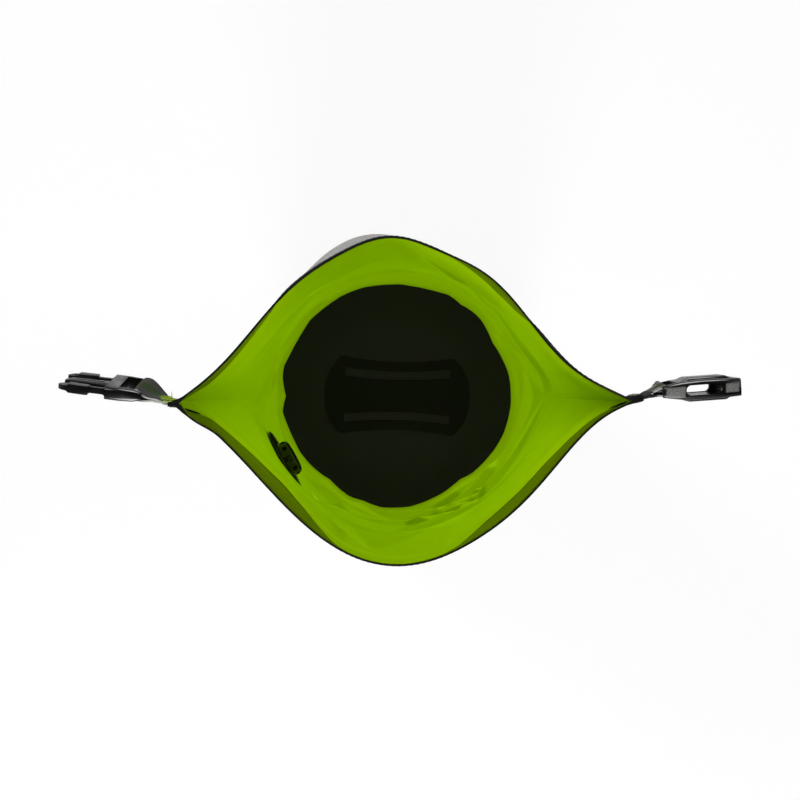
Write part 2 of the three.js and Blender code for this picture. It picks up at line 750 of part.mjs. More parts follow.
// Socket: hollow body with a raised panel on each broad face, side windows, webbing slot and bar
function socketBody() {
  const back = -socketEndMargin;
  const at = (share) => back + share * socketLength;
  const mouthEnd = at(1);
  const [t, w, r] = [socketHalfThickness, buckleHalfWidth, socketEdgeRadius];
  const outside = solid(loft([
    roundedSection(back, socketNoseHalfThickness, 0.88 * w, 0.7 * r),
    roundedSection(at(0.06), 1.15 * socketNoseHalfThickness, 0.95 * w, 0.9 * r),
    roundedSection(at(0.24), 0.9 * t, w, r),
    roundedSection(at(0.5), t, w, r),
    roundedSection(at(0.8), 0.97 * t, w, r),
    roundedSection(mouthEnd, socketMouthHalfThickness, 0.96 * w, 0.9 * r),
  ], false));
  const panelHalf = panelWidthShare * w;
  const panel = solid(loft([
    roundedSection(at(0.25), 0.85 * t, panelHalf, panelRise),
    roundedSection(at(0.36), t + panelRise, panelHalf, panelRise),
    roundedSection(at(0.84), t + panelRise, panelHalf, panelRise),
    roundedSection(at(0.92), 0.9 * t, panelHalf, panelRise),
  ], false));
  const corner = cavityFlare;
  const flared = [cavityHalfThickness + cavityFlare, cavityHalfWidth + cavityFlare];
  const cavity = solid(loft([
    roundedSection(back + cavityStart, cavityHalfThickness, cavityHalfWidth, corner),
    roundedSection(mouthEnd - 3 * cavityFlare, cavityHalfThickness, cavityHalfWidth, corner),
    roundedSection(mouthEnd, ...flared, corner),
    roundedSection(mouthEnd + overrun, ...flared, corner),
  ], false));
  const [start, end, h] = [back + sideWindowStart, back + sideWindowEnd, sideWindowHalfHeight];
  const window = new THREE.Shape();
  window.absarc(end - h, 0, h, -quarterTurn, quarterTurn, false);
  window.absarc(start + h, 0, h, quarterTurn, 3 * quarterTurn, false);
  const sideWindows = solid(raised(window, 4 * buckleHalfWidth, -2 * buckleHalfWidth));
  const slotMiddle = back + (socketSlotLength - overrun) / 2;
  const slot = box(socketSlotLength + overrun, 4 * t, 2 * slotHalfWidth, slotMiddle);
  return geometryOf(join(cut(join(outside, panel), cavity, sideWindows, slot), crossBar(barHalfLength)));
}

// Places a buckle half's geometry at its bar
function atBar(bar, geometry) {
  return geometry.clone()
    .rotateX(bar.roll).rotateZ(bar.yaw)
    .translate(bar.x, bar.y, tabHeight);
}

// Air valve, drawn along +Z from inside the bag to outside, with zero at the middle of the wall

const wallInside = -wallThickness / 2;
const gasketBack = wallInside - layerGap - gasketThickness;
const flangeFront = gasketBack - layerGap;
const flangeBack = flangeFront - flangeThickness;
const cageBack = flangeBack - cageDepth;
const ringBack = wallThickness / 2 + layerGap;
const ringFront = ringBack + ringThickness;
const seatBack = ringFront;
const seatFront = seatBack + seatThickness;

function valveBody() {
  const rimDrop = flangeThickness / 3;
  const body = solid(turned([
    [barrelBore, flangeBack], [cageRadius - cageWall, flangeBack],
    [cageRadius - cageWall, cageBack + cageRound], [cageRadius - cageRound, cageBack + cageWall],
    [0, cageBack + cageWall], [0, cageBack], [cageRadius - cageRound, cageBack],
    [cageRadius - 0.3 * cageRound, cageBack + 0.3 * cageRound], [cageRadius, cageBack + cageRound],
    [cageRadius, flangeBack], [flangeRadius - flangeThickness, flangeBack + rimDrop],
    [flangeRadius, flangeFront - rimDrop], [flangeRadius, flangeFront], [barrelRadius, flangeFront],
    [barrelRadius, barrelLength], [barrelBore, barrelLength], [barrelBore, flangeBack],
  ]));
  const windowDepth = cageDepth - 2 * cageWall;
  const windows = Array.from({ length: cageWindows / 2 }, (_, i) => solid(
    new THREE.BoxGeometry(2 * cageRadius + overrun, cageWindowWidth, windowDepth)
      .translate(0, 0, cageBack + cageWall + windowDepth / 2)
      .rotateZ((2 * Math.PI * i) / cageWindows)));
  const hub = turnedRing(stemRadius + stemClearance, hubRadius, seatBack, seatFront, 24);
  const inHub = (hubRadius - stemRadius - stemClearance) / 2;
  const inBarrel = (barrelRadius - barrelBore) / 2;
  const spokeLength = barrelBore + inBarrel - (hubRadius - inHub);
  const legs = Array.from({ length: spokes }, (_, i) => solid(
    new THREE.BoxGeometry(spokeLength, spokeWidth, seatThickness)
      .translate(hubRadius - inHub + spokeLength / 2, 0, (seatBack + seatFront) / 2)
      .rotateZ((2 * Math.PI * i) / spokes)));
  return geometryOf(join(cut(body, ...windows), hub, ...legs));
}

function turnedRing(inner, outer, back, front, segments = 36) {
  const section = [[inner, back], [outer, back], [outer, front], [inner, front], [inner, back]];
  return solid(turned(section, segments));
}

// The knob on the stem stops the diaphragm's lift under the hub
function valveDiaphragm() {
  const back = seatFront + layerGap;
  const knobFront = seatBack - layerGap - diaphragmLift;
  const knobBack = knobFront - stemKnobHeight;
  return turned([
    [0, knobBack], [stemRadius, knobBack], [stemKnobRadius, knobFront - stemKnobHeight / 2],
    [stemRadius, knobFront], [stemRadius, back], [diaphragmRadius, back],
    [diaphragmRadius, back + diaphragmThickness], [0, back + diaphragmThickness],
  ], 24);
}

// Twist cap: a cup over the barrel, lobed for grip, with vents in its face
function valveCap() {
  const back = ringFront + layerGap;
  const front = back + capHeight;
  const bore = barrelRadius + layerGap;
  const cup = solid(turned([
    [bore, back], [capRadius, back], [capRadius, front - capEdge], [capRadius - capEdge, front], [0, front],
    [0, front - capWall], [bore, front - capWall], [bore, back],
  ], 50));
  const drill = (radius, reach, turn, from) => solid(
    new THREE.CylinderGeometry(radius, radius, 2 * capHeight, 12).rotateX(quarterTurn)
      .translate(reach * Math.cos(turn), reach * Math.sin(turn), from + capHeight));
  const lobes = Array.from({ length: capLobes }, (_, i) => drill(
    capLobeRadius, capRadius + 0.4 * capLobeRadius, (2 * Math.PI * (i + 0.5)) / capLobes, back - overrun));
  const vents = Array.from({ length: capVents }, (_, i) => drill(
    capVentRadius, 0.55 * bore, (2 * Math.PI * i) / capVents, front - capWall - capEdge));
  return geometryOf(cut(cup, ...lobes, ...vents));
}

// The assembled bag

const bag = new THREE.Group();
bag.add(
  named("wall_panel", wallPanel(), limeFabric),
  named("side_seam_tape", sideSeam(), greyFabric),
  named("base_cup", baseCup(), blackFabric),
  named("handle_doubler", doubler(), blackFabric),
  named("handle_patch", handlePatch(), blackFabric),
  named("handle_band", handleBand(), webbing),
  named("back_closure_strip", closureStrip(1), stripRubber),
  named("front_closure_strip", closureStrip(-1), stripRubber),
  named("back_facing", facing(1), facingFabric),
  named("front_facing", facing(-1), facingFabric),
  named("back_rim_binding", rimBinding(1), stripRubber),
  named("front_rim_binding", rimBinding(-1), stripRubber),
  named("plug_tab_anchor", tabAnchor(-1), webbing),
  named("socket_tab_anchor", tabAnchor(1), webbing),
  named("plug_tab_loop", tabLoop(-1, plugBar, plugLoopBelly, plugLoopBack), webbing),
  named("socket_tab_loop", tabLoop(1, socketBar, socketLoopBelly, socketLoopBelly), webbing),
  named("plug_frame", atBar(plugBar, plugFrame()), bucklePlastic),
  named("plug_arm_upper", atBar(plugBar, plugArm(1)), bucklePlastic),
  named("plug_arm_lower", atBar(plugBar, plugArm(-1)), bucklePlastic),
  named("socket_body", atBar(socketBar, socketBody()), bucklePlastic),
  named("valve_body", onValveAxis(valveBody()), valvePlastic),
  named("valve_gasket", onValveAxis(geometryOf(
    turnedRing(barrelRadius + layerGap, gasketRadius, gasketBack, wallInside - layerGap))), softRubber),
  named("valve_ring", onValveAxis(geometryOf(
    turnedRing(barrelRadius + layerGap, ringRadius, ringBack, ringFront))), valvePlastic),
  named("valve_diaphragm", onValveAxis(valveDiaphragm()), softRubber),
  named("valve_cap", onValveAxis(valveCap()), valvePlastic),
);

export default bag;
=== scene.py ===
"""Looks for the roll-top dry bag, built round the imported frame.

The bag stands open on its base and is seen from straight above. Sizes here are in millimetres, and meshes
are written in metres in the frame's own axes: +Z up, +X towards the socket, origin on the floor.
"""

import logging
import math
from dataclasses import dataclass, field
from enum import Enum
from typing import Callable, Sequence

import bpy
import numpy as np
from mathutils import Matrix, Vector
from mathutils.geometry import delaunay_2d_cdt

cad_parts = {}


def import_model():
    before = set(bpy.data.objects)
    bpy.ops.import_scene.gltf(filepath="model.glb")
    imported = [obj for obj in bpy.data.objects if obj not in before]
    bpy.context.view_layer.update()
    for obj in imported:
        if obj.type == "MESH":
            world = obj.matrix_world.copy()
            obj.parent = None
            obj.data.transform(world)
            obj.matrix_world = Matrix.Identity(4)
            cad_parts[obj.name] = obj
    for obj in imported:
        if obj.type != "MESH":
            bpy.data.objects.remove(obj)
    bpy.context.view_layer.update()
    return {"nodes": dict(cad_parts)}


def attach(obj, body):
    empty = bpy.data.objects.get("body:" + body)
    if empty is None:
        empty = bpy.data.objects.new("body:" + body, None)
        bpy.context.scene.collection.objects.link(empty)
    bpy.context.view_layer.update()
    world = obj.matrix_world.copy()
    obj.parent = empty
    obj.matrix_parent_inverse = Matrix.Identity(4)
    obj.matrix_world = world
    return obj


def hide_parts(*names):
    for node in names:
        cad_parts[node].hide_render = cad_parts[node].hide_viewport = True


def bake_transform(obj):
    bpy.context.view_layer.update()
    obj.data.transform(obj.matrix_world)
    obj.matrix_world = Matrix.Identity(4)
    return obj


LOG = logging.getLogger("dry_bag")
MM = 0.001
TURN = 2 * math.pi
CELLS = 72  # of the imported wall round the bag; places along the mouth are counted in them
Array = np.ndarray
Place = Callable[[Array, Array], Array]
Point = tuple[float, float, float]
Colour = tuple[float, float, float, float]
Piece = bpy.types.Object
Socket = bpy.types.NodeSocket
Material = bpy.types.Material


class Body(str, Enum):
    """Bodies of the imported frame."""

    BAG = "bag"
    PLUG_TAB = "plug_tab"
    PLUG = "plug"
    UPPER_ARM = "upper_arm"
    LOWER_ARM = "lower_arm"
    SOCKET_TAB = "socket_tab"
    SOCKET = "socket"
    CAP = "cap"


class Slot(str, Enum):
    """Material slots of the record."""

    LINING = "lime_coating"
    OUTSIDE = "heather_fabric"
    BASE = "base_fabric"
    FACING = "facing_fabric"
    RUBBER = "closure_rubber"
    WEBBING = "webbing"
    BUCKLE = "buckle_plastic"
    VALVE = "valve_plastic"


class Side(Enum):
    """The two lips of the mouth."""

    BACK = 1
    FRONT = -1


class End(Enum):
    """The two ends of the mouth."""

    SOCKET = 1
    PLUG = -1


def srgb(red: int, green: int, blue: int) -> Colour:
    """A colour read off a screen, as linear red, green, blue and a full alpha.

    Args:
        red: Red from 0 to 255.
        green: Green from 0 to 255.
        blue: Blue from 0 to 255.

    Returns:
        The linear colour.
    """
    def linear(value: int) -> float:
        """One channel made linear."""
        share = value / 255
        return share / 12.92 if share <= 0.04045 else ((share + 0.055) / 1.055) ** 2.4

    return linear(red), linear(green), linear(blue), 1.0


def smooth(share: Array) -> Array:
    """Eases a share from 0 to 1, and holds it at both ends."""
    t = np.clip(share, 0.0, 1.0)
    return t * t * (3 - 2 * t)


def unit(vectors: Array) -> Array:
    """Rows of vectors at length one."""
    return vectors / np.maximum(np.linalg.norm(vectors, axis=-1, keepdims=True), 1e-12)


def heading(degrees: float) -> Array:
    """The direction in plan at an azimuth."""
    return np.array([math.cos(math.radians(degrees)), math.sin(math.radians(degrees))])


def spans(*rows: tuple[float, float, int]) -> Array:
    """Numbers from each row's first to its second, as many as its third says."""
    return np.concatenate([np.linspace(*row) for row in rows])


def distances(line: Array) -> Array:
    """How far along a line each of its points lies."""
    return np.concatenate([[0.0], np.cumsum(np.linalg.norm(np.diff(line, axis=0), axis=1))])


def picked(line: Array, along: Array, wanted: float | Array) -> Array:
    """Points of a line at wanted distances, from the distance of each of its own points."""
    return np.stack([np.interp(wanted, along, line[:, k]) for k in range(line.shape[1])], axis=-1)


def resampled(line: Array, count: int) -> Array:
    """A line cut into equal steps, as this many points."""
    along = distances(line)
    return picked(line, along, np.linspace(0.0, along[-1], count))


def curved(points: Array, per_step: int) -> Array:
    """A smooth line through points, each taken once.

    Args:
        points: Points that the line passes.
        per_step: Points made between two that are given.

    Returns:
        The line's points.
    """
    padded = np.vstack([2 * points[0] - points[1], points, 2 * points[-1] - points[-2]])
    made = [0.5 * (2 * b + (c - a) * t + (2 * a - 5 * b + 4 * c - d) * t**2 + (3 * b - a - 3 * c + d) * t**3)
            for a, b, c, d in zip(padded, padded[1:], padded[2:], padded[3:])
            for t in np.linspace(0.0, 1.0, per_step, endpoint=False)]
    return np.vstack([*made, points[-1]])


class Bench:
    """Blender's operators as used on a workbench, one object at a time."""

    @staticmethod
    def pick(*pieces: Piece) -> None:
        """Selects just these pieces and makes the first of them active.

        Args:
            pieces: What to select, or nothing for an empty selection.
        """
        if bpy.context.object is not None and bpy.context.object.mode != "OBJECT":
            bpy.ops.object.mode_set(mode="OBJECT")
        bpy.ops.object.select_all(action="DESELECT")
        for piece in pieces:
            piece.select_set(True)
        if pieces:
            bpy.context.view_layer.objects.active = pieces[0]

    @staticmethod
    def placed(name: str, data: bpy.types.ID) -> Piece:
        """A new object round this data, linked to the scene."""
        obj = bpy.data.objects.new(name, data)
        bpy.context.scene.collection.objects.link(obj)
        return obj

    @staticmethod
    def joined(name: str, *pieces: Piece) -> Piece:
        """Joins pieces into the first of them, under this name."""
        Bench.pick(*pieces)
        bpy.ops.object.join()
        pieces[0].name = name
        return pieces[0]

    @staticmethod
    def grid(name: str, columns: int, rows: int) -> Piece:
        """A flat grid one unit across with so many columns and rows, to be shaped."""
        Bench.pick()
        bpy.ops.mesh.primitive_grid_add(x_subdivisions=columns, y_subdivisions=rows, size=1.0)
        bpy.context.object.name = name
        return bpy.context.object

    @staticmethod
    def shape(obj: Piece, place: Place, cloth: Place | None = None) -> None:
        """Moves a grid's points to their places, and lays its cloth map.

        Args:
            obj: The grid.
            place: Gives points in millimetres for shares along the columns and rows.
            cloth: Gives the map's two coordinates in millimetres for the same shares.
        """
        mesh = obj.data
        flat = np.empty(len(mesh.vertices) * 3)
        mesh.vertices.foreach_get("co", flat)
        u, v = (np.clip(flat.reshape(-1, 3)[:, k] + 0.5, 0.0, 1.0) for k in (0, 1))
        mesh.vertices.foreach_set("co", (place(u, v) * MM).ravel())
        if cloth is not None:
            layer = mesh.uv_layers.active.data
            shares = np.empty(len(layer) * 2)
            layer.foreach_get("uv", shares)
            shares = shares.reshape(-1, 2)
            layer.foreach_set("uv", (cloth(shares[:, 0], shares[:, 1]) * MM).ravel())
        mesh.update()

    @staticmethod
    def edit(obj: Piece, *steps: Callable[[], object]) -> None:
        """Runs steps in edit mode, each on the whole mesh.

        Args:
            obj: The piece.
            steps: Calls of mesh operators.
        """
        Bench.pick(obj)
        bpy.ops.object.mode_set(mode="EDIT")
        for step in steps:
            bpy.ops.mesh.select_all(action="SELECT")
            step()
        bpy.ops.object.mode_set(mode="OBJECT")

    @staticmethod
    def weld(obj: Piece, distance: float = 0.004, closed: bool = False) -> None:
        """Welds doubled points and turns the faces outwards.

        Args:
            obj: The piece.
            distance: Points nearer than this become one.
            closed: Whether its open ends are filled too.
        """
        fill = [lambda: bpy.ops.mesh.fill_holes(sides=0)] if closed else []
        Bench.edit(obj, lambda: bpy.ops.mesh.remove_doubles(threshold=distance * MM), *fill,
                   lambda: bpy.ops.mesh.normals_make_consistent(inside=False))

    @staticmethod
    def apply(obj: Piece, kind: str, **settings: object) -> None:
        """Adds a modifier to a piece and applies it.

        Args:
            obj: The piece.
            kind: The modifier's kind.
            settings: What is set on it.
        """
        Bench.pick(obj)
        modifier = obj.modifiers.new(kind.lower(), kind)
        for key, value in settings.items():
            setattr(modifier, key, value)
        bpy.ops.object.modifier_apply(modifier=modifier.name)

    @staticmethod
    def soften(obj: Piece, angle: float) -> None:
        """Shades a piece smooth, but for edges sharper than an angle in degrees."""
        Bench.pick(obj)
        bpy.ops.object.shade_smooth_by_angle(angle=math.radians(angle))

    @staticmethod
    def dress(obj: Piece, finish: Material) -> None:
        """Gives a piece one material in place of what it had."""
        obj.data.materials.clear()
        obj.data.materials.append(finish)

    @staticmethod
    def fit(obj: Piece, body: Body, slot: Slot, finish: Material,
            stands_for: Sequence[str] = ()) -> None:
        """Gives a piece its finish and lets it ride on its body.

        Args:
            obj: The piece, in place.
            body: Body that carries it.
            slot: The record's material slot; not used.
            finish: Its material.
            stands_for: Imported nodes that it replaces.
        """
        Bench.dress(obj, finish)
        if stands_for:
            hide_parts(*stands_for)
        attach(obj, body.value)
        LOG.info("%s rides on %s", obj.name, body.value)


class Graph:
    """The nodes of a material or of the world, added one by one."""

    def __init__(self, owner: Material | bpy.types.World) -> None:
        """Empties the owner's nodes and adds their output."""
        owner.use_nodes = True
        self.owner, self.tree = owner, owner.node_tree
        self.tree.nodes.clear()
        self.out = self.node(f"Output{type(owner).__name__}").inputs["Surface"]

    def feed(self, socket: Socket, value: object) -> None:
        """Links another socket to this one, or sets its value."""
        if isinstance(value, Socket):
            self.tree.links.new(value, socket)
        else:
            socket.default_value = value

    def node(self, kind: str, **inputs: object) -> bpy.types.Node:
        """Adds a node.

        Args:
            kind: What it is, without the word ShaderNode.
            inputs: Sockets to link or values to set, by number as in0 and in1, or by name with _ for a space.

        Returns:
            The node.
        """
        made = self.tree.nodes.new(f"ShaderNode{kind}")
        for key, value in inputs.items():
            numbered = key[:2] == "in" and key[2:].isdigit()
            self.feed(made.inputs[int(key[2:]) if numbered else key.replace("_", " ")], value)
        return made

    def point(self, source: str = "Object") -> Socket:
        """The point's place in the frame, or its place on the cloth with source UV."""
        return self.node("TexCoord").outputs[source]

    def stretched(self, vector: Socket, scale: Point, turn: Point = (0.0, 0.0, 0.0)) -> Socket:
        """A place scaled and turned."""
        return self.node("Mapping", Vector=vector, Scale=scale, Rotation=turn).outputs[0]

    def part(self, vector: Socket, axis: str) -> Socket:
        """One coordinate of a place, by X, Y or Z."""
        return self.node("SeparateXYZ", in0=vector).outputs[axis]

    def math(self, operation: str, first: object, second: object = 0.0) -> Socket:
        """A sum on two numbers."""
        made = self.node("Math", in0=first, in1=second)
        made.operation = operation
        return made.outputs[0]

    def noise(self, vector: Socket, scale: float, detail: float = 3.0) -> Socket:
        """Soft random value round a half, with patches of about 1 / scale metres."""
        return self.node("TexNoise", Vector=vector, Scale=scale, Detail=detail).outputs["Fac"]

    def ramp(self, value: Socket, low: float, high: float, start: float = 0.0, end: float = 1.0) -> Socket:
        """A value carried from one range to another and held at its ends."""
        made = self.node("MapRange", Value=value, From_Min=low, From_Max=high, To_Min=start, To_Max=end)
        return made.outputs[0]

    def mix(self, share: object, first: object, second: object) -> Socket:
        """A colour between two, by the second's share."""
        made = self.node("Mix")
        made.data_type = "RGBA"
        made.clamp_factor = False
        for index, value in ((0, share), (6, first), (7, second)):
            self.feed(made.inputs[index], value)
        return made.outputs[2]

    def wave(self, value: Socket, pitch: float) -> Socket:
        """A wave from -1 to 1 along a value, for crests a pitch in millimetres apart."""
        return self.math("SINE", self.math("MULTIPLY", value, TURN / (pitch * MM)))

    def threads(self, vector: Socket, pitch: float) -> Socket:
        """Height of a plain weave from 0 to 1, for threads a pitch in millimetres apart."""
        waves = [self.wave(self.part(vector, axis), pitch) for axis in "XY"]
        return self.ramp(self.math("MULTIPLY", *waves), -1.0, 1.0)

    def bump(self, height: Socket, depth: float, strength: float, **under: Socket) -> Socket:
        """A surface raised by a height, depth millimetres at most, over another one given as Normal."""
        return self.node("Bump", Height=height, Distance=depth * MM, Strength=strength, **under).outputs[0]

    def by_ray(self, ray: str, others: Socket, seen: Socket) -> Socket:
        """A shader that only rays of one kind see, and another one for all others."""
        share = self.node("LightPath").outputs[f"Is {ray} Ray"]
        return self.node("MixShader", in0=share, in1=others, in2=seen).outputs[0]


class Surface(Graph):
    """A material's nodes round a principled shader."""

    def __init__(self, name: str) -> None:
        """Starts the material."""
        super().__init__(bpy.data.materials.new(name))
        self.shader = self.node("BsdfPrincipled")
        self.feed(self.out, self.shader.outputs[0])

    def finish(self, **inputs: object) -> Material:
        """Sets the shader's sockets, whose names are written with _ for a space, and gives the material."""
        for key, value in inputs.items():
            self.feed(self.shader.inputs[key.replace("_", " ")], value)
        return self.owner


@dataclass(frozen=True)
class CoatedCloth:
    """Woven cloth under a smooth coating."""

    name: str
    colour: Colour
    worn: Colour
    roughness: float
    specular: float
    crease_share: float
    pitch: float = 0.9
    weave_depth: float = 0.012
    cloud: float = 18.0
    # painted fold shade: whether the folds' slope paints the colour paler and darker, and how strongly
    folded: bool = False
    fold_contrast: float = 3.6
    # painted shadow along a facing's lower edge: its distance below the band's middle, and its dark colour
    hem: float = 0.0
    hem_shade: Colour = (0.004, 0.012, 0.0, 1.0)

    def material(self) -> Material:
        """The material, on the piece's cloth map.

        Returns:
            The material. With painted fold shade it is painted paler and darker with the slope of its folds,
            as a light from one side would shade them, and a painted edge shadow darkens it below a distance
            under the middle of its width.
        """
        graph = Surface(self.name)
        cloth, place = graph.point("UV"), graph.point()
        clouds = graph.noise(place, self.cloud, 2.0)
        ridges = graph.math("SUBTRACT", graph.noise(place, 2.2 * self.cloud, 1.0), 0.5)
        creases = graph.ramp(graph.math("ABSOLUTE", ridges), 0.0, 0.012, self.crease_share, 0.0)
        share = graph.math("ADD", graph.ramp(clouds, 0.35, 0.65, 0.0, 0.35), creases)
        # painted shade: the folds' slope pushes the colour paler and darker, as a light from the upper left
        # would
        if self.folded:
            slope = graph.node("Attribute")
            slope.attribute_name = "slope"
            painted_fold_shading = graph.ramp(slope.outputs["Fac"], -0.3, 0.3, -self.fold_contrast, self.fold_contrast)
            share = graph.math("ADD", share, painted_fold_shading)
        # the share mixes random wear and, with painted fold shade on, the painted shade of the folds
        colour = graph.mix(share, self.colour, self.worn)
        # painted shadow: darkens the band's lower edge, where the facing's edge would cast shade
        if self.hem:
            edge = graph.ramp(graph.part(cloth, "Y"), -(self.hem + 2.0) * MM, -self.hem * MM, 0.75, 0.0)
            colour = graph.mix(edge, colour, self.hem_shade)
        rough = graph.ramp(clouds, 0.3, 0.7, self.roughness - 0.06, self.roughness + 0.06)
        normal = graph.bump(graph.threads(cloth, self.pitch), self.weave_depth, 0.6)
        normal = graph.bump(graph.noise(place, 900.0, 2.0), 0.02, 0.4, Normal=normal)
        return graph.finish(Base_Color=colour, Normal=normal, Roughness=rough,
                            Specular_IOR_Level=self.specular)


@dataclass(frozen=True)
class HeatherCloth:
    """Melange cloth of light and darker yarns."""

    name: str
    light: Colour
    dark: Colour
    pitch: float = 0.8

    def material(self) -> Material:
        """The material, with yarns along both ways of the cloth.

        Returns:
            The material.
        """
        graph = Surface(self.name)
        cloth = graph.point("UV")
        yarns = [graph.noise(graph.stretched(cloth, scale), 1.0, 2.0)
                 for scale in ((2600.0, 210.0, 1.0), (240.0, 2400.0, 1.0))]
        yarns = graph.ramp(graph.math("ADD", *yarns), 0.78, 1.24)
        patches = graph.ramp(graph.noise(graph.point(), 9.0, 2.0), 0.35, 0.65, -0.08, 0.08)
        colour = graph.mix(graph.math("ADD", yarns, patches), self.dark, self.light)
        normal = graph.bump(graph.threads(cloth, self.pitch), 0.05, 0.7)
        return graph.finish(Base_Color=colour, Roughness=0.85, Specular_IOR_Level=0.25, Sheen_Weight=0.15,
                            Normal=graph.bump(yarns, 0.03, 0.5, Normal=normal))


@dataclass(frozen=True)
class StripedWebbing:
    """Narrow woven strap with a coloured stripe along its middle, paler selvedges that partly paint a
    highlight, and painted shade in its weave.

    Its two ends can be dark for a length, where they are bound between the closure strips.
    """

    name: str
    body: Colour
    stripe: Colour
    # pale selvedge colour, partly a painted highlight where the strap's edges catch the light
    edge: Colour
    width: float
    stripe_half: float = 4.2
    sewn: float = 0.0
    length: float = 1.0
    # painted shade for the hollows between the weave's threads
    between: Colour = (0.004, 0.004, 0.004, 1.0)
    bound: Colour = (0.003, 0.003, 0.003, 1.0)

    def material(self) -> Material:
        """The material: the cloth map's second coordinate runs across the strap from its middle.

        Returns:
            The material.
        """
        graph = Surface(self.name)
        cloth = graph.point("UV")
        along, across = graph.part(cloth, "X"), graph.math("ABSOLUTE", graph.part(cloth, "Y"))
        wander = graph.noise(graph.stretched(cloth, (1400.0, 300.0, 1.0)), 1.0)
        wander = graph.ramp(wander, 0.3, 0.7, -0.3, 0.3)
        reach = graph.math("ADD", across, graph.math("MULTIPLY", wander, MM))
        outside = graph.ramp(reach, (self.stripe_half - 0.25) * MM, (self.stripe_half + 0.25) * MM)
        # the selvedges' pale colour is partly a painted highlight of the strap's edges
        selvedge_and_highlight = graph.ramp(across, (self.width / 2 - 0.8) * MM, (self.width / 2 - 0.4) * MM)
        ribs, picks = (graph.ramp(graph.wave(way, pitch), -1.0, 1.0)
                       for way, pitch in ((across, 1.5), (along, 1.1)))
        weave = graph.math("MULTIPLY", ribs, picks)
        colour = graph.mix(outside, self.stripe, self.body)
        # painted shade: darker in the weave's hollows
        colour = graph.mix(graph.ramp(weave, 0.0, 0.6, 0.35, 0.0), colour, self.between)
        colour = graph.mix(selvedge_and_highlight, colour, self.edge)
        if self.sewn:
            end = graph.math("MINIMUM", along, graph.math("SUBTRACT", self.length * MM, along))
            held = graph.ramp(end, self.sewn * MM, (self.sewn + 1.5) * MM, 0.97, 0.0)
            colour = graph.mix(held, colour, self.bound)
        return graph.finish(Base_Color=colour, Roughness=0.75, Specular_IOR_Level=0.15, Sheen_Weight=0.05,
                            Normal=graph.bump(weave, 0.16, 0.8))


@dataclass(frozen=True)
class Moulded:
    """Injection-moulded plastic or rubber with a fine spark texture.

    Each pad is its start and end along X, its middle and half width in Y, and the height of its lower edge.
    """

    name: str
    colour: Colour
    scuffed: Colour
    roughness: float
    specular: float
    grain: float = 1500.0
    grain_depth: float = 0.02
    pads: tuple[tuple[float, float, float, float, float], ...] = ()
    pad_lean: float = 0.092

    def pad(self, graph: Graph, place: Socket) -> Socket:
        """How far a place lies in a matt stippled pad on the piece's upper edge.

        Args:
            graph: The material's nodes.
            place: The place in the frame.

        Returns:
            The share, from 0 to 1.
        """
        x, y, z = (graph.part(place, axis) for axis in "XYZ")
        shares = []
        for start, end, middle, half, low in self.pads:
            centre = (middle - self.pad_lean * (start + end) / 2) * MM
            aside = graph.math("SUBTRACT", y, graph.math("MULTIPLY", x, self.pad_lean))
            aside = graph.math("ABSOLUTE", graph.math("SUBTRACT", aside, centre))
            share = 1.0
            for value, first, last, *ends in (
                    (x, start, start + 0.8, 0.0, 1.0), (x, end - 0.8, end, 1.0, 0.0),
                    (z, low, low + 1.0, 0.0, 1.0), (aside, half - 0.5, half + 0.3, 1.0, 0.0)):
                share = graph.math("MULTIPLY", share, graph.ramp(value, first * MM, last * MM, *ends))
            shares.append(share)
        return graph.math("ADD", *shares)

    def material(self) -> Material:
        """The material, on the place in the frame.

        Returns:
            The material.
        """
        graph = Surface(self.name)
        place = graph.point()
        fine, broad = graph.noise(place, self.grain, 2.0), graph.noise(place, 90.0, 3.0)
        scratches = graph.noise(graph.stretched(place, (300.0, 2400.0, 500.0), (0.0, 0.0, 0.4)), 1.0, 2.0)
        scratches = graph.ramp(scratches, 0.66, 0.74, 0.0, 0.4)
        share = graph.math("ADD", graph.ramp(broad, 0.4, 0.7, 0.0, 0.5), scratches)
        colour = graph.mix(share, self.colour, self.scuffed)
        rough = graph.ramp(broad, 0.3, 0.7, self.roughness - 0.07, self.roughness + 0.09)
        if self.pads:
            pad = self.pad(graph, place)
            stipple = graph.ramp(graph.noise(place, 2100.0, 1.0), 0.35, 0.65)
            colour = graph.mix(pad, colour, graph.mix(stipple, srgb(84, 85, 82), srgb(132, 133, 129)))
            rough = graph.math("ADD", rough, graph.math("MULTIPLY", pad, 0.35))
        return graph.finish(Base_Color=colour, Roughness=rough, Specular_IOR_Level=self.specular,
                            Normal=graph.bump(fine, self.grain_depth, 0.5))


@dataclass(frozen=True)
class Twist:
    """Sewing thread or loose yarn."""

    name: str
    colour: Colour
    shade: Colour = (0.01, 0.012, 0.004, 1.0)

    def material(self) -> Material:
        """The material, with the strands' twist in its colour and surface.

        Returns:
            The material.
        """
        graph = Surface(self.name)
        strands = graph.noise(graph.stretched(graph.point(), (3000.0, 900.0, 3000.0)), 1.0, 2.0)
        colour = graph.mix(graph.ramp(strands, 0.35, 0.65, 0.0, 0.5), self.colour, self.shade)
        return graph.finish(Base_Color=colour, Roughness=0.7, Specular_IOR_Level=0.3,
                            Normal=graph.bump(strands, 0.05, 0.6))


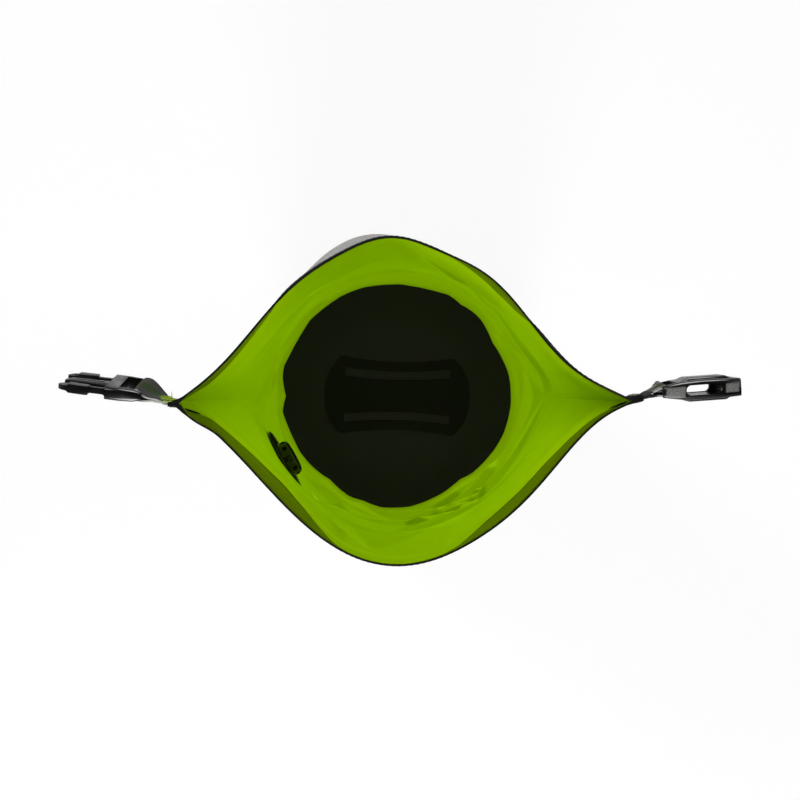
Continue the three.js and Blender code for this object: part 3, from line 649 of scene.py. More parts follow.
class Finishes:
    """All finishes of the bag, each made once."""

    def __init__(self) -> None:
        """Makes the materials."""
        black = (srgb(8, 8, 7), srgb(16, 16, 15), 0.2, 0.32)
        pads = ((142.9, 153.9, 4.8, 3.0, 474.0), (175.4, 183.4, 7.7, 2.5, 474.0))
        # the lining is painted paler and darker on the slopes of its folds: painted fold shade
        self.lining = CoatedCloth("lime_lining", srgb(130, 164, 1), srgb(136, 171, 4), 0.8, 0.0, 0.1,
                                  folded=True).material()
        self.outside = HeatherCloth("heather_outside", srgb(222, 220, 217), srgb(172, 171, 169)).material()
        self.base = CoatedCloth("base_coat", srgb(37, 34, 38), srgb(40, 37, 41), 0.9, 0.0, 0.1, 1.2,
                                0.02).material()
        self.patch = CoatedCloth("handle_patch_coat", srgb(21, 19, 21), srgb(25, 23, 25), 0.85, 0.03, 0.05,
                                 1.0, 0.02).material()
        # the facing gets a painted shadow along its lower edge, from 10 mm below its middle
        self.facing = CoatedCloth("olive_facing", srgb(84, 106, 2), srgb(94, 116, 5), 0.85, 0.0, 0.1, 0.8,
                                  0.03, hem=10.0).material()
        self.rubber = Moulded("strip_rubber", srgb(11, 12, 9), srgb(17, 18, 14), 0.75, 0.06, 1100.0,
                              0.03).material()
        # painted light and shade: the plug's and socket's tabs are one webbing, darker here for the plug's
        # shaded side and lighter in the socket's lit copy
        self.webbing = StripedWebbing("tab_webbing", srgb(74, 75, 72), srgb(44, 74, 0), srgb(214, 216, 212),
                                      25.0).material()
        self.sewn_webbing = StripedWebbing("socket_tab_webbing", srgb(150, 152, 146), srgb(58, 82, 2),
                                           srgb(205, 207, 203), 25.0, 3.6, 10.0, 44.5).material()
        self.grip = StripedWebbing("handle_webbing", srgb(34, 35, 31), srgb(34, 35, 31), srgb(46, 47, 43),
                                   28.0).material()
        self.buckle = Moulded("buckle_plastic", *black, grain_depth=0.006).material()
        self.socket = Moulded("socket_plastic", *black, grain_depth=0.006, pads=pads).material()
        self.valve = Moulded("valve_plastic", srgb(10, 11, 8), srgb(15, 16, 12), 0.15, 0.5,
                             grain_depth=0.004).material()
        self.soft_rubber = Moulded("valve_rubber", srgb(34, 36, 31), srgb(48, 50, 44), 0.7, 0.3).material()
        self.stitch = Twist("stitch_thread", srgb(196, 198, 192)).material()
        self.dark_stitch = Twist("dark_stitch_thread", srgb(44, 45, 40)).material()
        self.fray = Twist("lime_yarn", srgb(168, 206, 20)).material()


@dataclass
class BagSection:
    """The bag's wall: its place at any share of the way round and any height, creases and sag included."""

    open_height: float = 480.0
    radius: float = 100.0
    mouth_half: float = 125.5
    collar: float = 28.0
    round_below: float = 60.0
    foot: float = 1.5
    back_lip: tuple[float, ...] = (83.67, 7.43, -2.94, 0.63, 0.54, -6.0, 1.2, -0.2, -1.08)
    front_lip: tuple[float, ...] = (85.8, 5.91, -2.66, 0.93, -0.14, -2.61, 0.42, -0.8, 0.29)
    front_bulge: float = 3.4
    bulge_rise: tuple[float, float] = (102.0, 16.0)
    bulge_fall: tuple[float, float] = (122.6, 2.9)
    swell: float = 9.6
    swell_azimuth: float = 108.0
    swell_half: float = 28.0
    swell_depth: float = 170.0
    valve_height: float = 198.0
    valve_azimuth: float = 208.8
    valve_plane: float = 99.8
    valve_flat: float = 29.0
    valve_fade: float = 28.0
    foot_corners: tuple[tuple[float, float], ...] = (
        (0, 101.6), (11, 101.5), (19, 99.7), (29, 97.6), (41, 100.9), (47, 101.0), (55, 99.4), (63, 101.2),
        (88, 99.6), (107, 101.1), (120, 101.8), (139, 102.8), (165, 103.9), (171, 103.0), (180, 98.9),
        (188, 102.9), (210, 99.7), (221, 97.9), (231, 95.4), (244, 98.9), (252, 98.0), (262, 100.2),
        (277, 99.4), (294, 95.9), (302, 93.9), (307, 93.2), (315, 96.2), (330, 98.9), (341, 100.9),
        (355, 101.8),
    )
    foot_belly: float = 0.55
    ripple_bottom: float = 26.0
    ripple_top: float = 105.0
    lean_knots: tuple[tuple[float, float], ...] = (
        (0, -2.5), (5, -3.8), (15, -4.4), (25, -4.3), (31, -3.6), (38, -1.0), (50, 0.3), (60, -0.6),
        (70, -2.6), (78, -3.3), (92, -3.3), (115, -3.4), (135, -3.5), (141, -3.0), (150, -1.4),
        (165, -0.6), (175, 0.0),
        (182, 0.8), (190, 1.8), (200, 3.0), (215, 4.2), (228, 2.6), (238, -0.5), (244, -2.8), (252, -3.4),
        (270, -3.5), (284, -3.3), (290, -2.6), (296, -0.6), (304, 1.4), (315, 2.0), (335, 1.6), (350, -0.6),
        (356, -1.8), (360, -2.5),
    )
    lean_depth: float = 120.0
    small_dents: int = 80
    dents: tuple[tuple[float, float, float, float, float, int], ...] = (
        (0.835, 0.032, 160, 60, 3.4, 46), (0.66, 0.02, 130, 40, 2.4, 9), (0.20, 0.02, 330, 30, 1.8, 9),
        (0.03, 0.015, 220, 60, 1.8, 10), (0.695, 0.03, 350, 35, 1.9, 9),
    )
    calm_radius: float = 34.0
    calm_fade: float = 26.0
    crease_calm: float = 30.0
    crease_low: float = 200.0
    crease_fade: float = 150.0
    collar_fade: float = 45.0
    base_low: float = 22.0
    base_fade: float = 40.0
    seed: int = 11

    def __post_init__(self) -> None:
        """Draws the mouth once, and the creases."""
        self.lips = {Side.BACK: self._lip(self.back_lip), Side.FRONT: self._lip(self.front_lip) * (1, -1)}
        self.feet, self.leans = self._foot(), self._leans()
        self.creases = self._creases()

    @property
    def collar_bottom(self) -> float:
        """Height of the collar's lower edge."""
        return self.open_height - self.collar

    def _lip(self, waves: tuple[float, ...]) -> Array:
        """One lip of the mouth as a sum of half waves along it, in equal steps from the socket's end.

        Args:
            waves: Sizes of the waves in millimetres: the even ones, and then the odd ones.

        Returns:
            The lip's points in plan.
        """
        count = 721
        x = self.mouth_half * np.cos(np.linspace(0.0, math.pi, count))
        t = 0.5 * math.pi * x / self.mouth_half
        even = [np.cos((2 * i + 1) * t) for i in range(5)]
        odd = [np.sin(2 * (i + 1) * t) for i in range(4)]
        rise = sum(size * wave for size, wave in zip(waves, even + odd))
        return resampled(np.stack([x, rise], axis=1), count)

    def _foot(self) -> Array:
        """How far the wall's foot lies off its round: slightly bowed sides between corners.

        Returns:
            The distance outwards at each degree.
        """
        corners = np.array([*self.foot_corners, (self.foot_corners[0][0] + 360, self.foot_corners[0][1])])
        degrees = np.arange(361.0)
        i = np.clip(np.searchsorted(corners[:, 0], degrees, side="right") - 1, 0, len(corners) - 2)
        (a, first), (b, second) = corners[i].T, corners[i + 1].T
        a, b, here = np.radians(a), np.radians(b), np.radians(degrees)
        reach = first * second * np.sin(b - a) / (first * np.sin(here - a) + second * np.sin(b - here))
        reach += self.foot_belly * np.sin(math.pi * (here - a) / (b - a)) * np.minimum((b - a) / 0.2, 1.5)
        return reach - self.radius

    def _leans(self) -> Array:
        """How far the collar's lower edge leans in.

        Returns:
            The distance inwards at each degree.
        """
        knots = np.array(self.lean_knots)
        table = np.interp(np.arange(360.0), knots[:, 0], knots[:, 1])
        window = np.hanning(11)
        table = np.convolve(np.concatenate([table[-5:], table, table[:5]]), window / window.sum(), "valid")
        return np.append(table, table[0])

    def lean(self, points: Array) -> Array:
        """The collar's lean at the azimuth of each point in plan."""
        azimuth = np.degrees(np.arctan2(points[:, 1], points[:, 0])) % 360
        return np.interp(azimuth, np.arange(361.0), self.leans)

    def mouth(self, turn: Array) -> Array:
        """Points of the mouth.

        Args:
            turn: Shares of the way round.

        Returns:
            Points in plan, one a row.
        """
        share = np.mod(turn, 1.0)
        steps = np.linspace(0.0, 1.0, len(self.lips[Side.BACK]))
        back, front = (picked(self.lips[side], steps, np.clip(s, 0, 1))
                       for side, s in ((Side.BACK, 2 * share), (Side.FRONT, 2 - 2 * share)))
        return np.where((share <= 0.5)[:, None], back, front)

    def bulge(self, points: Array) -> Array:
        """How far the top of the front lip stands out beside the plug's crease, for points in plan."""
        rise, fall = (smooth((-points[:, 0] - start) / length)
                      for start, length in (self.bulge_rise, self.bulge_fall))
        return self.front_bulge * rise * (1 - fall) * (points[:, 1] < 0)

    def plan(self, turn: Array, z: Array) -> Array:
        """Middle of the wall without its creases.

        Args:
            turn: Shares of the way round.
            z: Heights.

        Returns:
            Points in plan, one a row.
        """
        angle = TURN * np.mod(turn, 1.0)
        below = self.collar_bottom - z
        rounded = self.radius * np.stack([np.cos(angle), np.sin(angle)], axis=1)
        mouth = self.mouth(turn)
        open_share = smooth((z - self.round_below) / (self.collar_bottom - self.round_below))[:, None]
        point = rounded + (mouth - rounded) * open_share
        down = np.clip(below / self.swell_depth, 0.0, 1.0)
        off = np.clip(np.abs(np.degrees(angle) - self.swell_azimuth) / self.swell_half, 0.0, 1.0)
        swell = self.swell * np.sin(math.pi * down**0.6) ** 2 * np.cos(0.5 * math.pi * off) ** 2
        held = np.where(z > self.collar_bottom, (self.open_height - z) / self.collar,
                        1 - smooth(below / self.lean_depth))
        waves = np.interp(np.degrees(angle), np.arange(361.0), self.feet)
        foot = 1 - smooth((z - self.ripple_bottom) / (self.ripple_top - self.ripple_bottom))
        point = point + unit(point) * (swell - self.lean(mouth) * held + waves * foot)[:, None]
        point[:, 1] -= self.bulge(mouth) * np.clip(1 - (self.open_height - z) / self.collar, 0, 1)
        normal = heading(self.valve_azimuth)
        through = point @ normal
        beside, above = (smooth(1 - (np.abs(away) - self.valve_flat) / self.valve_fade)
                         for away in (point @ np.array([-normal[1], normal[0]]), z - self.valve_height))
        flat = beside * above * (through > 0)
        return point + normal * (flat * (self.valve_plane - through))[:, None]

    def at(self, turn: Array, z: Array, offset: float | Array = 0.0,
           creased: bool = True) -> Array:
        """Points on the wall, in millimetres.

        Args:
            turn: Shares of the way round from the socket's crease.
            z: Heights.
            offset: Distance outwards from the middle of the wall.
            creased: Whether the small folds of the fabric are in it.

        Returns:
            Points, one a row.
        """
        step = 1 / 288
        before, here, after = (self.plan(turn + d, z) for d in (-step, 0.0, step))
        normals = [unit(np.stack([b[:, 1] - a[:, 1], a[:, 0] - b[:, 0]], axis=1))
                   for a, b in ((before, here), (here, after))]
        mitre = (normals[0] + normals[1]) / (1 + (normals[0] * normals[1]).sum(axis=1))[:, None]
        out = offset + (self.fold(turn, z) if creased else 0.0)
        point = here + mitre * (np.zeros(len(here)) + out)[:, None]
        return np.column_stack([point, z])

    def _creases(self) -> tuple[Array, Array, Array]:
        """The fabric's folds: flat facets between points pushed in or out at random.

        Returns:
            Shares of the way round, heights, and a table of how far the wall is pushed out at each of both.
        """
        rng = np.random.default_rng(self.seed)
        girth = TURN * self.radius
        points = [(rng.uniform(0, girth), rng.uniform(0, self.open_height), 1.3)
                  for _ in range(self.small_dents)]
        points += [(girth * rng.normal(share, aside), rng.normal(height, above), size)
                   for share, aside, height, above, size, count in self.dents for _ in range(count)]
        points = [(x % girth, y, size * rng.normal(0, 0.8)) for x, y, size in points]
        points += [(girth * s, y, 0.0) for s in (0.0, 0.25, 0.5, 0.75) for y in (0.0, self.open_height)]
        spread = [(x + shift, y, h) for x, y, h in points for shift in (-girth, 0.0, girth)]
        flat = [Vector((x, y)) for x, y, _ in spread]
        made, _, faces, origins, _, _ = delaunay_2d_cdt(flat, [], [], 0, 1e-6)
        heights = [spread[o[0]][2] if o else 0.0 for o in origins]
        xs, ys = np.linspace(0, girth, 505), np.linspace(0, self.open_height, 385)
        table = np.zeros((len(xs), len(ys)))
        for face in faces:
            corner = np.array([[made[i].x, made[i].y, heights[i]] for i in face])
            inside_x = (xs >= corner[:, 0].min()) & (xs <= corner[:, 0].max())
            inside_y = (ys >= corner[:, 1].min()) & (ys <= corner[:, 1].max())
            if not inside_x.any() or not inside_y.any():
                continue
            gx, gy = np.meshgrid(xs[inside_x], ys[inside_y], indexing="ij")
            a, b, c = corner[:, :2]
            base = np.cross(b - a, c - a)
            if abs(base) < 1e-9:
                continue
            wb = ((gx - a[0]) * (c - a)[1] - (gy - a[1]) * (c - a)[0]) / base
            wc = ((b - a)[0] * (gy - a[1]) - (b - a)[1] * (gx - a[0])) / base
            hit = (wb >= -1e-9) & (wc >= -1e-9) & (wb + wc <= 1 + 1e-9)
            block = table[np.ix_(inside_x, inside_y)]
            block[hit] = (corner[0, 2] * (1 - wb - wc) + corner[1, 2] * wb + corner[2, 2] * wc)[hit]
            table[np.ix_(inside_x, inside_y)] = block
        for _ in range(2):
            wrapped = np.vstack([table[-2:-1], table, table[1:2]])
            table = (wrapped[:-2] + 2 * wrapped[1:-1] + wrapped[2:]) / 4
            table[:, 1:-1] = (table[:, :-2] + 2 * table[:, 1:-1] + table[:, 2:]) / 4
        return xs / girth, ys, table

    def slope(self, turn: Array, z: Array) -> Array:
        """How the folds tip the wall at each point, towards its upper left as seen from inside: the lining
        paints this as shade.
        """
        step = 1.8
        aside = step / (TURN * self.radius)
        around = (self.fold(turn + aside, z) - self.fold(turn - aside, z)) / (2 * step)
        upwards = (self.fold(turn, z + step) - self.fold(turn, z - step)) / (2 * step)
        return 0.7 * around - 0.7 * upwards

    def fold(self, turn: Array, z: Array) -> Array:
        """How far the fabric's folds push the wall out.

        Args:
            turn: Shares of the way round.
            z: Heights.

        Returns:
            The distance at each point, which fades out by the valve, the mouth's creases, collar and base.
        """
        shares, heights, table = self.creases
        x = np.mod(turn, 1.0) * (len(shares) - 1)
        y = np.clip(z / self.open_height, 0, 1) * (len(heights) - 1)
        i, j = np.minimum(x.astype(int), len(shares) - 2), np.minimum(y.astype(int), len(heights) - 2)
        fx, fy = x - i, y - j
        height = ((1 - fx) * (1 - fy) * table[i, j] + fx * (1 - fy) * table[i + 1, j]
                  + (1 - fx) * fy * table[i, j + 1] + fx * fy * table[i + 1, j + 1])
        aside = (360 * np.mod(turn, 1.0) - self.valve_azimuth) * math.radians(self.radius)
        by_valve = smooth((np.hypot(aside, z - self.valve_height) - self.calm_radius) / self.calm_fade)
        creased = np.minimum(np.mod(turn, 0.5), 0.5 - np.mod(turn, 0.5)) * TURN * self.radius
        by_crease = smooth((z - self.crease_low) / self.crease_fade)
        by_crease = 1 - (1 - smooth(creased / self.crease_calm)) * by_crease
        by_collar = smooth((self.collar_bottom - 2 - z) / self.collar_fade)
        by_base = smooth((z - self.base_low) / self.base_fade)
        return height * by_valve * by_crease * by_collar * by_base


class Profile:
    """Closed outlines that are carried along a line."""

    @staticmethod
    def strap(width: float, thickness: float, steps: int) -> Array:
        """A flat strap with round edges.

        Args:
            width: Full width.
            thickness: Full thickness.
            steps: Points across each broad face.

        Returns:
            Points as distance across the strap and through it.
        """
        r = thickness / 2
        half = width / 2 - r
        face = [(a, r) for a in np.linspace(-half, half, steps)]
        edge = [(half + r * math.sin(t), r * math.cos(t)) for t in np.linspace(0, math.pi, 5)[1:-1]]
        right = face + edge
        return np.array(right + [(-a, -t) for a, t in right])

    @staticmethod
    def cord(radius: float, steps: int) -> Array:
        """A round cord."""
        turn = np.linspace(0, TURN, steps, endpoint=False)
        return radius * np.stack([np.cos(turn), np.sin(turn)], axis=1)


@dataclass
class Ribbon:
    """A closed band: an outline carried along a line, with its way across and through at each point."""

    name: str
    line: Array
    across: Array
    through: Array
    outline: Array
    widths: float | Array = 1.0
    depths: float | Array = 1.0

    def build(self) -> Piece:
        """Makes the mesh.

        Returns:
            The object, closed at both ends.
        """
        count, around = len(self.line), len(self.outline)
        obj = Bench.grid(self.name, count - 1, around)
        widths, depths = (size * np.ones(count) for size in (self.widths, self.depths))
        along = distances(self.line)

        def nearest(u: Array, v: Array) -> tuple[Array, Array]:
            """Which point of the line and which of the outline is meant by shares."""
            return np.rint(u * (count - 1)).astype(int), np.rint(v * around).astype(int) % around

        def place(u: Array, v: Array) -> Array:
            """The band's points."""
            i, j = nearest(u, v)
            return (self.line[i] + self.across[i] * (self.outline[j, 0] * widths[i])[:, None]
                    + self.through[i] * (self.outline[j, 1] * depths[i])[:, None])

        def cloth(u: Array, v: Array) -> Array:
            """Distances along and across the band."""
            i, j = nearest(u, v)
            return np.stack([along[i], self.outline[j, 0] * widths[i]], axis=1)

        Bench.shape(obj, place, cloth)
        Bench.weld(obj, closed=True)
        Bench.soften(obj, 50)
        return obj


@dataclass
class Stitching:
    """Rows of short stitches, modelled once and copied."""

    name: str
    length: float
    radius: float
    stitches: list[tuple[Array, Array, Array]] = field(default_factory=list)

    def row(self, line: Array, normal: Array, pitch: float) -> None:
        """Lays stitches along a line.

        Args:
            line: The line's points.
            normal: Direction out of the cloth at each of them.
            pitch: Distance between stitches.
        """
        along = distances(line)
        for start in np.arange(0.5 * pitch, along[-1] - 0.3 * pitch, pitch):
            ends = (start - self.length / 2, min(start + self.length / 2, along[-1]))
            a, b = (picked(line, along, end) for end in ends)
            out = picked(normal, along, start)
            if np.linalg.norm(b - a) > 0.2:
                self.stitches.append((a, b, out / np.linalg.norm(out)))

    def build(self) -> Piece:
        """Copies one stitch to every place and joins them.

        Returns:
            All stitches as one piece.
        """
        Bench.pick()
        bpy.ops.mesh.primitive_uv_sphere_add(segments=6, ring_count=5, radius=1.0)
        obj = bpy.context.object
        obj.name = self.name
        points = np.array([v.co for v in obj.data.vertices])
        faces = [tuple(p.vertices) for p in obj.data.polygons]
        all_points, all_faces = [], []
        for a, b, out in self.stitches:
            along = (b - a) / 2
            side = np.cross(out, unit(along))
            base = len(all_points) * len(points)
            arch = out * (self.radius * 0.5 * (1 - points[:, 2] ** 2))[:, None]
            all_points.append((a + b) / 2 + points[:, 2:3] * along + points[:, 0:1] * side * self.radius
                              + points[:, 1:2] * out * self.radius + arch)
            all_faces += [tuple(base + i for i in face) for face in faces]
        mesh = bpy.data.meshes.new(self.name)
        mesh.from_pydata((np.vstack(all_points) * MM).tolist(), [], all_faces)
        mesh.update()
        obj.data = mesh
        Bench.weld(obj, 0.0005)
        Bench.soften(obj, 80)
        return obj


@dataclass
class BagWall:
    """The bag's tube as two layers, its side seam and its base."""

    section: BagSection
    finishes: Finishes
    columns: int = 288
    rows: int = 132
    layer: float = 0.3
    cup_wall: float = 1.0
    cup_height: float = 24.0
    foot_width: float = 22.0
    dish_rise: float = 7.8
    dish_slope: float = 10.0
    base_thickness: float = 1.2
    seam_turns: tuple[float, float] = (8 / CELLS, 10 / CELLS)
    seam_edge: float = 0.42
    seam_rise: float = 0.5

    def shell(self, name: str, offset: float, outwards: bool) -> Piece:
        """One layer of the wall.

        Args:
            name: Name of the piece.
            offset: Its bare face's distance from the middle of the wall.
            outwards: Whether it is thickened away from the bag's axis.

        Returns:
            The closed layer.
        """
        section = self.section
        low, high = section.foot, section.open_height - 1.2
        obj = Bench.grid(name, self.columns, self.rows)
        Bench.shape(obj, lambda u, v: section.at(u, low + v * (high - low), offset),
                    lambda u, v: np.stack([u * TURN * section.radius, low + v * (high - low)], axis=1))
        if not outwards:
            # the folds' slope, stored for the lining's painted fold shade
            layer = obj.data.attributes.new("slope", "FLOAT", "POINT")
            count, columns = len(obj.data.vertices), self.columns + 1
            index = np.arange(count)
            turn, share = (index % columns) / self.columns, (index // columns) / self.rows
            layer.data.foreach_set("value", section.slope(turn, low + share * (high - low)))
        Bench.weld(obj)
        Bench.apply(obj, "SOLIDIFY", thickness=self.layer * MM, offset=1.0 if outwards else -1.0)
        Bench.soften(obj, 60)
        return obj

    def seam(self) -> Piece:
        """The welded overlap down the outside of the tube.

        Returns:
            The seam.
        """
        section = self.section
        low, high = self.cup_height + 0.5, section.collar_bottom - 0.5
        start, end = self.seam_turns
        obj = Bench.grid("side_seam_overlap", 12, self.rows)

        def place(u: Array, v: Array) -> Array:
            """Points raised off the wall, but for the seam's edges."""
            lift = self.seam_edge + self.seam_rise * smooth(np.minimum(u, 1 - u) / 0.12)
            return section.at(start + u * (end - start), low + v * (high - low), lift)

        Bench.shape(obj, place, lambda u, v: np.stack(
            [(start + u * (end - start)) * TURN * section.radius, low + v * (high - low)], axis=1))
        Bench.apply(obj, "SOLIDIFY", thickness=0.1 * MM, offset=1.0)
        Bench.soften(obj, 50)
        return obj

    def base(self) -> Piece:
        """The base cup: upturned wall outside the tube, foot ring and dished middle, with the wall's ripples.

        Returns:
            The cup.
        """
        section = self.section
        inner, outer = 0.45, 0.45 + self.cup_wall
        top, rise, thick = self.cup_height, self.dish_rise, self.base_thickness
        foot_in = section.radius + outer - self.foot_width
        dish = foot_in - self.dish_slope
        corner = [(outer - 2 + 2 * math.sin(t), 2 - 2 * math.cos(t)) for t in np.linspace(0, math.pi / 2, 6)]
        lip = [(inner + 0.5 * self.cup_wall * (1 + math.cos(t)), top - 0.5 + 0.5 * math.sin(t))
               for t in np.linspace(0, math.pi, 6)]
        rim = [*corner, (outer, 8.0), (outer, 16.0), *lip, (inner, 12.0), (inner, thick + 0.1), (-1.0, thick)]
        ring = [(section.radius + a, z) for a, z in rim]
        slope = np.linspace(0, 1, 9)
        start, end = section.radius - 3, dish - 8
        floor = [*[(start + s * (end - start), thick + rise * float(smooth(s))) for s in slope],
                 (0.5 * dish, thick + rise), (0.02, thick + rise)]
        under = [(0.02, rise), (0.5 * dish, rise),
                 *[(dish + s * (foot_in - dish), rise * float(1 - smooth(s))) for s in slope],
                 (foot_in + 8, 0.0)]
        profile = np.array([*under, *ring, *floor])
        count = len(profile)
        obj = Bench.grid("base_cup_welded", self.columns, count - 1)

        def place(u: Array, v: Array) -> Array:
            """Points of the profile turned about the axis, rippled towards the wall."""
            row = profile[np.rint(v * (count - 1)).astype(int)]
            wall = section.at(u, np.full(len(u), section.foot), creased=False)[:, :2]
            wave = np.linalg.norm(wall, axis=1) - section.radius
            share = smooth((row[:, 0] - dish) / (section.radius - 2 - dish))
            reach = row[:, 0] + wave * share
            angle = TURN * u
            return np.column_stack([reach * np.cos(angle), reach * np.sin(angle), row[:, 1]])

        down = profile[:, 0] + profile[:, 1]
        Bench.shape(obj, place, lambda u, v: np.stack(
            [u * TURN * 60, np.interp(v * (count - 1), np.arange(count), down)], axis=1))
        Bench.weld(obj, 0.03, closed=True)
        Bench.soften(obj, 50)
        return obj

    def build(self) -> None:
        """Builds and dresses the wall, seam and base."""
        look = self.finishes
        lining = self.shell("lime_lining", -0.02, False)
        Bench.fit(lining, Body.BAG, Slot.LINING, look.lining)
        outside = self.shell("heather_skin", 0.02, True)
        Bench.fit(outside, Body.BAG, Slot.OUTSIDE, look.outside, ["wall_panel"])
        seam = self.seam()
        Bench.fit(seam, Body.BAG, Slot.OUTSIDE, look.outside, ["side_seam_tape"])
        Bench.fit(self.base(), Body.BAG, Slot.BASE, look.base, ["base_cup"])


@dataclass
class Collar:
    """Closure strips, facings and rim bindings round the mouth."""

    section: BagSection
    finishes: Finishes
    facing: tuple[float, float] = (-0.62, -0.34)
    strip: tuple[float, float] = (0.36, 0.66)
    tail_strip: tuple[float, float] = (1.4, 1.9)
    tail_length: float = 5.6
    tail_start: float = 1.4
    tail_roots: tuple[tuple[float, float], tuple[float, float]] = ((125.2, 0.7), (-125.2, -1.1))
    plug_lean: float = 2.0
    socket_lean: float = 15.0
    lip_end: float = 123.8
    facing_rise: float = 24.0
    facing_run: float = 2.2
    rim_gap: float = 1.1
    points: int = 300

    def tail(self, end: End, along: float | Array, across: float | Array) -> Array:
        """Points on a tail.

        Args:
            end: Which tail.
            along: Distance past the crease.
            across: Distance square to the tail.

        Returns:
            Points in plan, one a row.
        """
        lean = math.radians(self.socket_lean if end is End.SOCKET else 180 - self.plug_lean)
        x, y = self.tail_roots[0 if end is End.SOCKET else 1]
        c, s = math.cos(lean), math.sin(lean)
        along, across = np.broadcast_arrays(np.atleast_1d(along), np.atleast_1d(across))
        return np.stack([x + c * along - s * across, y + s * along + c * across], axis=1)

    def line(self, side: Side, lip: float, tail: float, height: float) -> Array:
        """A line along one lip at a distance outside it, run out on to both tails, in plan.

        Args:
            side: Which lip.
            lip: Distance outside the middle of the wall.
            tail: Distance from the middle of each tail.
            height: Height of the line.

        Returns:
            Points from the socket's tail to the plug's.
        """
        shares = spans((0.2, 1.9, 8), (2.2, 33.8, 120), (34.1, 35.8, 8)) / CELLS
        turn = shares if side is Side.BACK else 1 - shares
        along = self.section.at(turn, np.full(len(turn), height), lip, creased=False)[:, :2]
        end = self.lip_end - (1.6 if abs(tail) < 0.5 else 0.0)
        along = along[np.abs(self.section.mouth(turn)[:, 0]) < end]
        run = np.array([self.tail_length, 0.5 * (self.tail_length + self.tail_start), self.tail_start])
        if abs(tail) < 0.5:
            run = np.append(run, -0.6)
        first = self.tail(End.SOCKET, run, side.value * tail)
        last = self.tail(End.PLUG, run[::-1], -side.value * tail)
        return resampled(curved(np.vstack([first, along, last]), 6), self.points)

    def facing_line(self, side: Side, lip: float, share: float) -> Array:
        """A line along one facing, in place.

        Args:
            side: Which lip.
            lip: Distance outside the middle of the wall.
            share: How far up the facing it runs, from 0 to 1.

        Returns:
            Points from the socket's crease to the plug's. The lower edge climbs to the rim at both.
        """
        section = self.section
        steps = spans((0.12, 2.6, 40), (2.7, 33.3, 220), (33.4, 35.88, 40))
        turn = (steps if side is Side.BACK else CELLS - steps) / CELLS
        high = section.open_height - self.rim_gap
        climb = 1 - smooth(np.minimum(steps, CELLS / 2 - steps) / self.facing_run)
        low = section.collar_bottom + self.facing_rise * climb
        return section.at(turn, low + share * (high - low), lip, False)

    def band(self, name: str, side: Side, spread: tuple[float, float], tail: tuple[float, float] | None,
             low: float, high: float) -> Piece:
        """A band round one lip that follows the wall from its lower to its upper edge.

        Args:
            name: Name of the piece.
            side: Which lip.
            spread: Inner and outer distance from the middle of the wall.
            tail: The same from the middle of each tail, or nothing for a facing, which has no tails.
            low: Height of its lower edge.
            high: Height of its upper edge.

        Returns:
            The band.
        """
        if tail is None:
            upper, lower = ([self.facing_line(side, a, share) for a in spread] for share in (1.0, 0.0))
        else:
            upper, lower = ([np.column_stack([self.line(side, a, b, height), np.full(self.points, height)])
                             for a, b in zip(spread, tail)] for height in (high, low))
        top, bottom = sum(upper) / 2, sum(lower) / 2
        wide = np.linalg.norm(top - bottom, axis=1)
        through = (upper[1] - upper[0] + lower[1] - lower[0]) / 2
        profile = Profile.strap(high - low, 1.0, 7)
        return Ribbon(name, (top + bottom) / 2, unit(top - bottom), unit(through), profile,
                      wide / (high - low), np.linalg.norm(through, axis=1)).build()

    def seams(self) -> Piece:
        """Two rows of stitches along each closure strip.

        Returns:
            All the stitches.
        """
        sewn = Stitching("collar_stitches", 2.4, 0.16)
        section = self.section
        shares = np.linspace(2.0, 34.0, 400) / CELLS
        for side in Side:
            for height in (section.collar_bottom + 2.6, section.open_height - 4.2):
                turn = shares if side is Side.BACK else 1 - shares
                line, inner = (section.at(turn, np.full(len(turn), height), out, False)
                               for out in (self.strip[1] - 0.06, 0.0))
                sewn.row(line, unit(line - inner), 3.4)
        return sewn.build()

    def build(self) -> None:
        """Builds and dresses the collar."""
        look, top = self.finishes, self.section.open_height
        low = self.section.collar_bottom
        rim_spread = (self.facing[1] - 0.04, self.strip[1] + 0.02)
        rim_tail = (0.06, self.tail_strip[1] + 0.04)
        rows = (
            ("closure_strip", self.strip, self.tail_strip, low, top - self.rim_gap, Slot.RUBBER, look.rubber),
            ("facing", self.facing, None, low, top - self.rim_gap, Slot.FACING, look.facing),
            ("rim_binding", rim_spread, rim_tail, top - 1.0, top + 0.25, Slot.RUBBER, look.rubber),
        )
        names = {"facing": "collar_facing", "rim_binding": "rim_edging"}
        for side, word in ((Side.BACK, "back"), (Side.FRONT, "front")):
            for node, spread, tail, bottom, upper, slot, finish in rows:
                band = self.band(f"{names.get(node, node)}_{word}", side, spread, tail, bottom, upper)
                Bench.fit(band, Body.BAG, slot, finish, [f"{word}_{node}"])
        Bench.fit(self.seams(), Body.BAG, Slot.RUBBER, look.dark_stitch)
        # the hem rolls wear the dark patch finish as a painted shadow under the facing's edge
        Bench.fit(self.rolls(), Body.BAG, Slot.FACING, look.patch)

    def rolls(self) -> Piece:
        """The two ends of the front facing's lower hem, which curl over near the creases, dressed dark as a
        painted shadow line.

        Returns:
            Both rolls.
        """
        edge, made = self.facing_line(Side.FRONT, self.facing[0] - 0.5, 0.03), []
        for line in (edge[3:22], edge[-5:-21:-1]):
            across = unit(np.cross(np.gradient(line, axis=0), (0, 0, 1)))
            through = unit(np.cross(np.gradient(line, axis=0), across))
            taper = np.sin(np.linspace(0.25, math.pi, len(line))) ** 0.6 + 0.05
            made.append(Ribbon("hem_roll", line, across, through, Profile.cord(0.5, 8), taper, taper).build())
        return Bench.joined("facing_hem_rolls", *made)


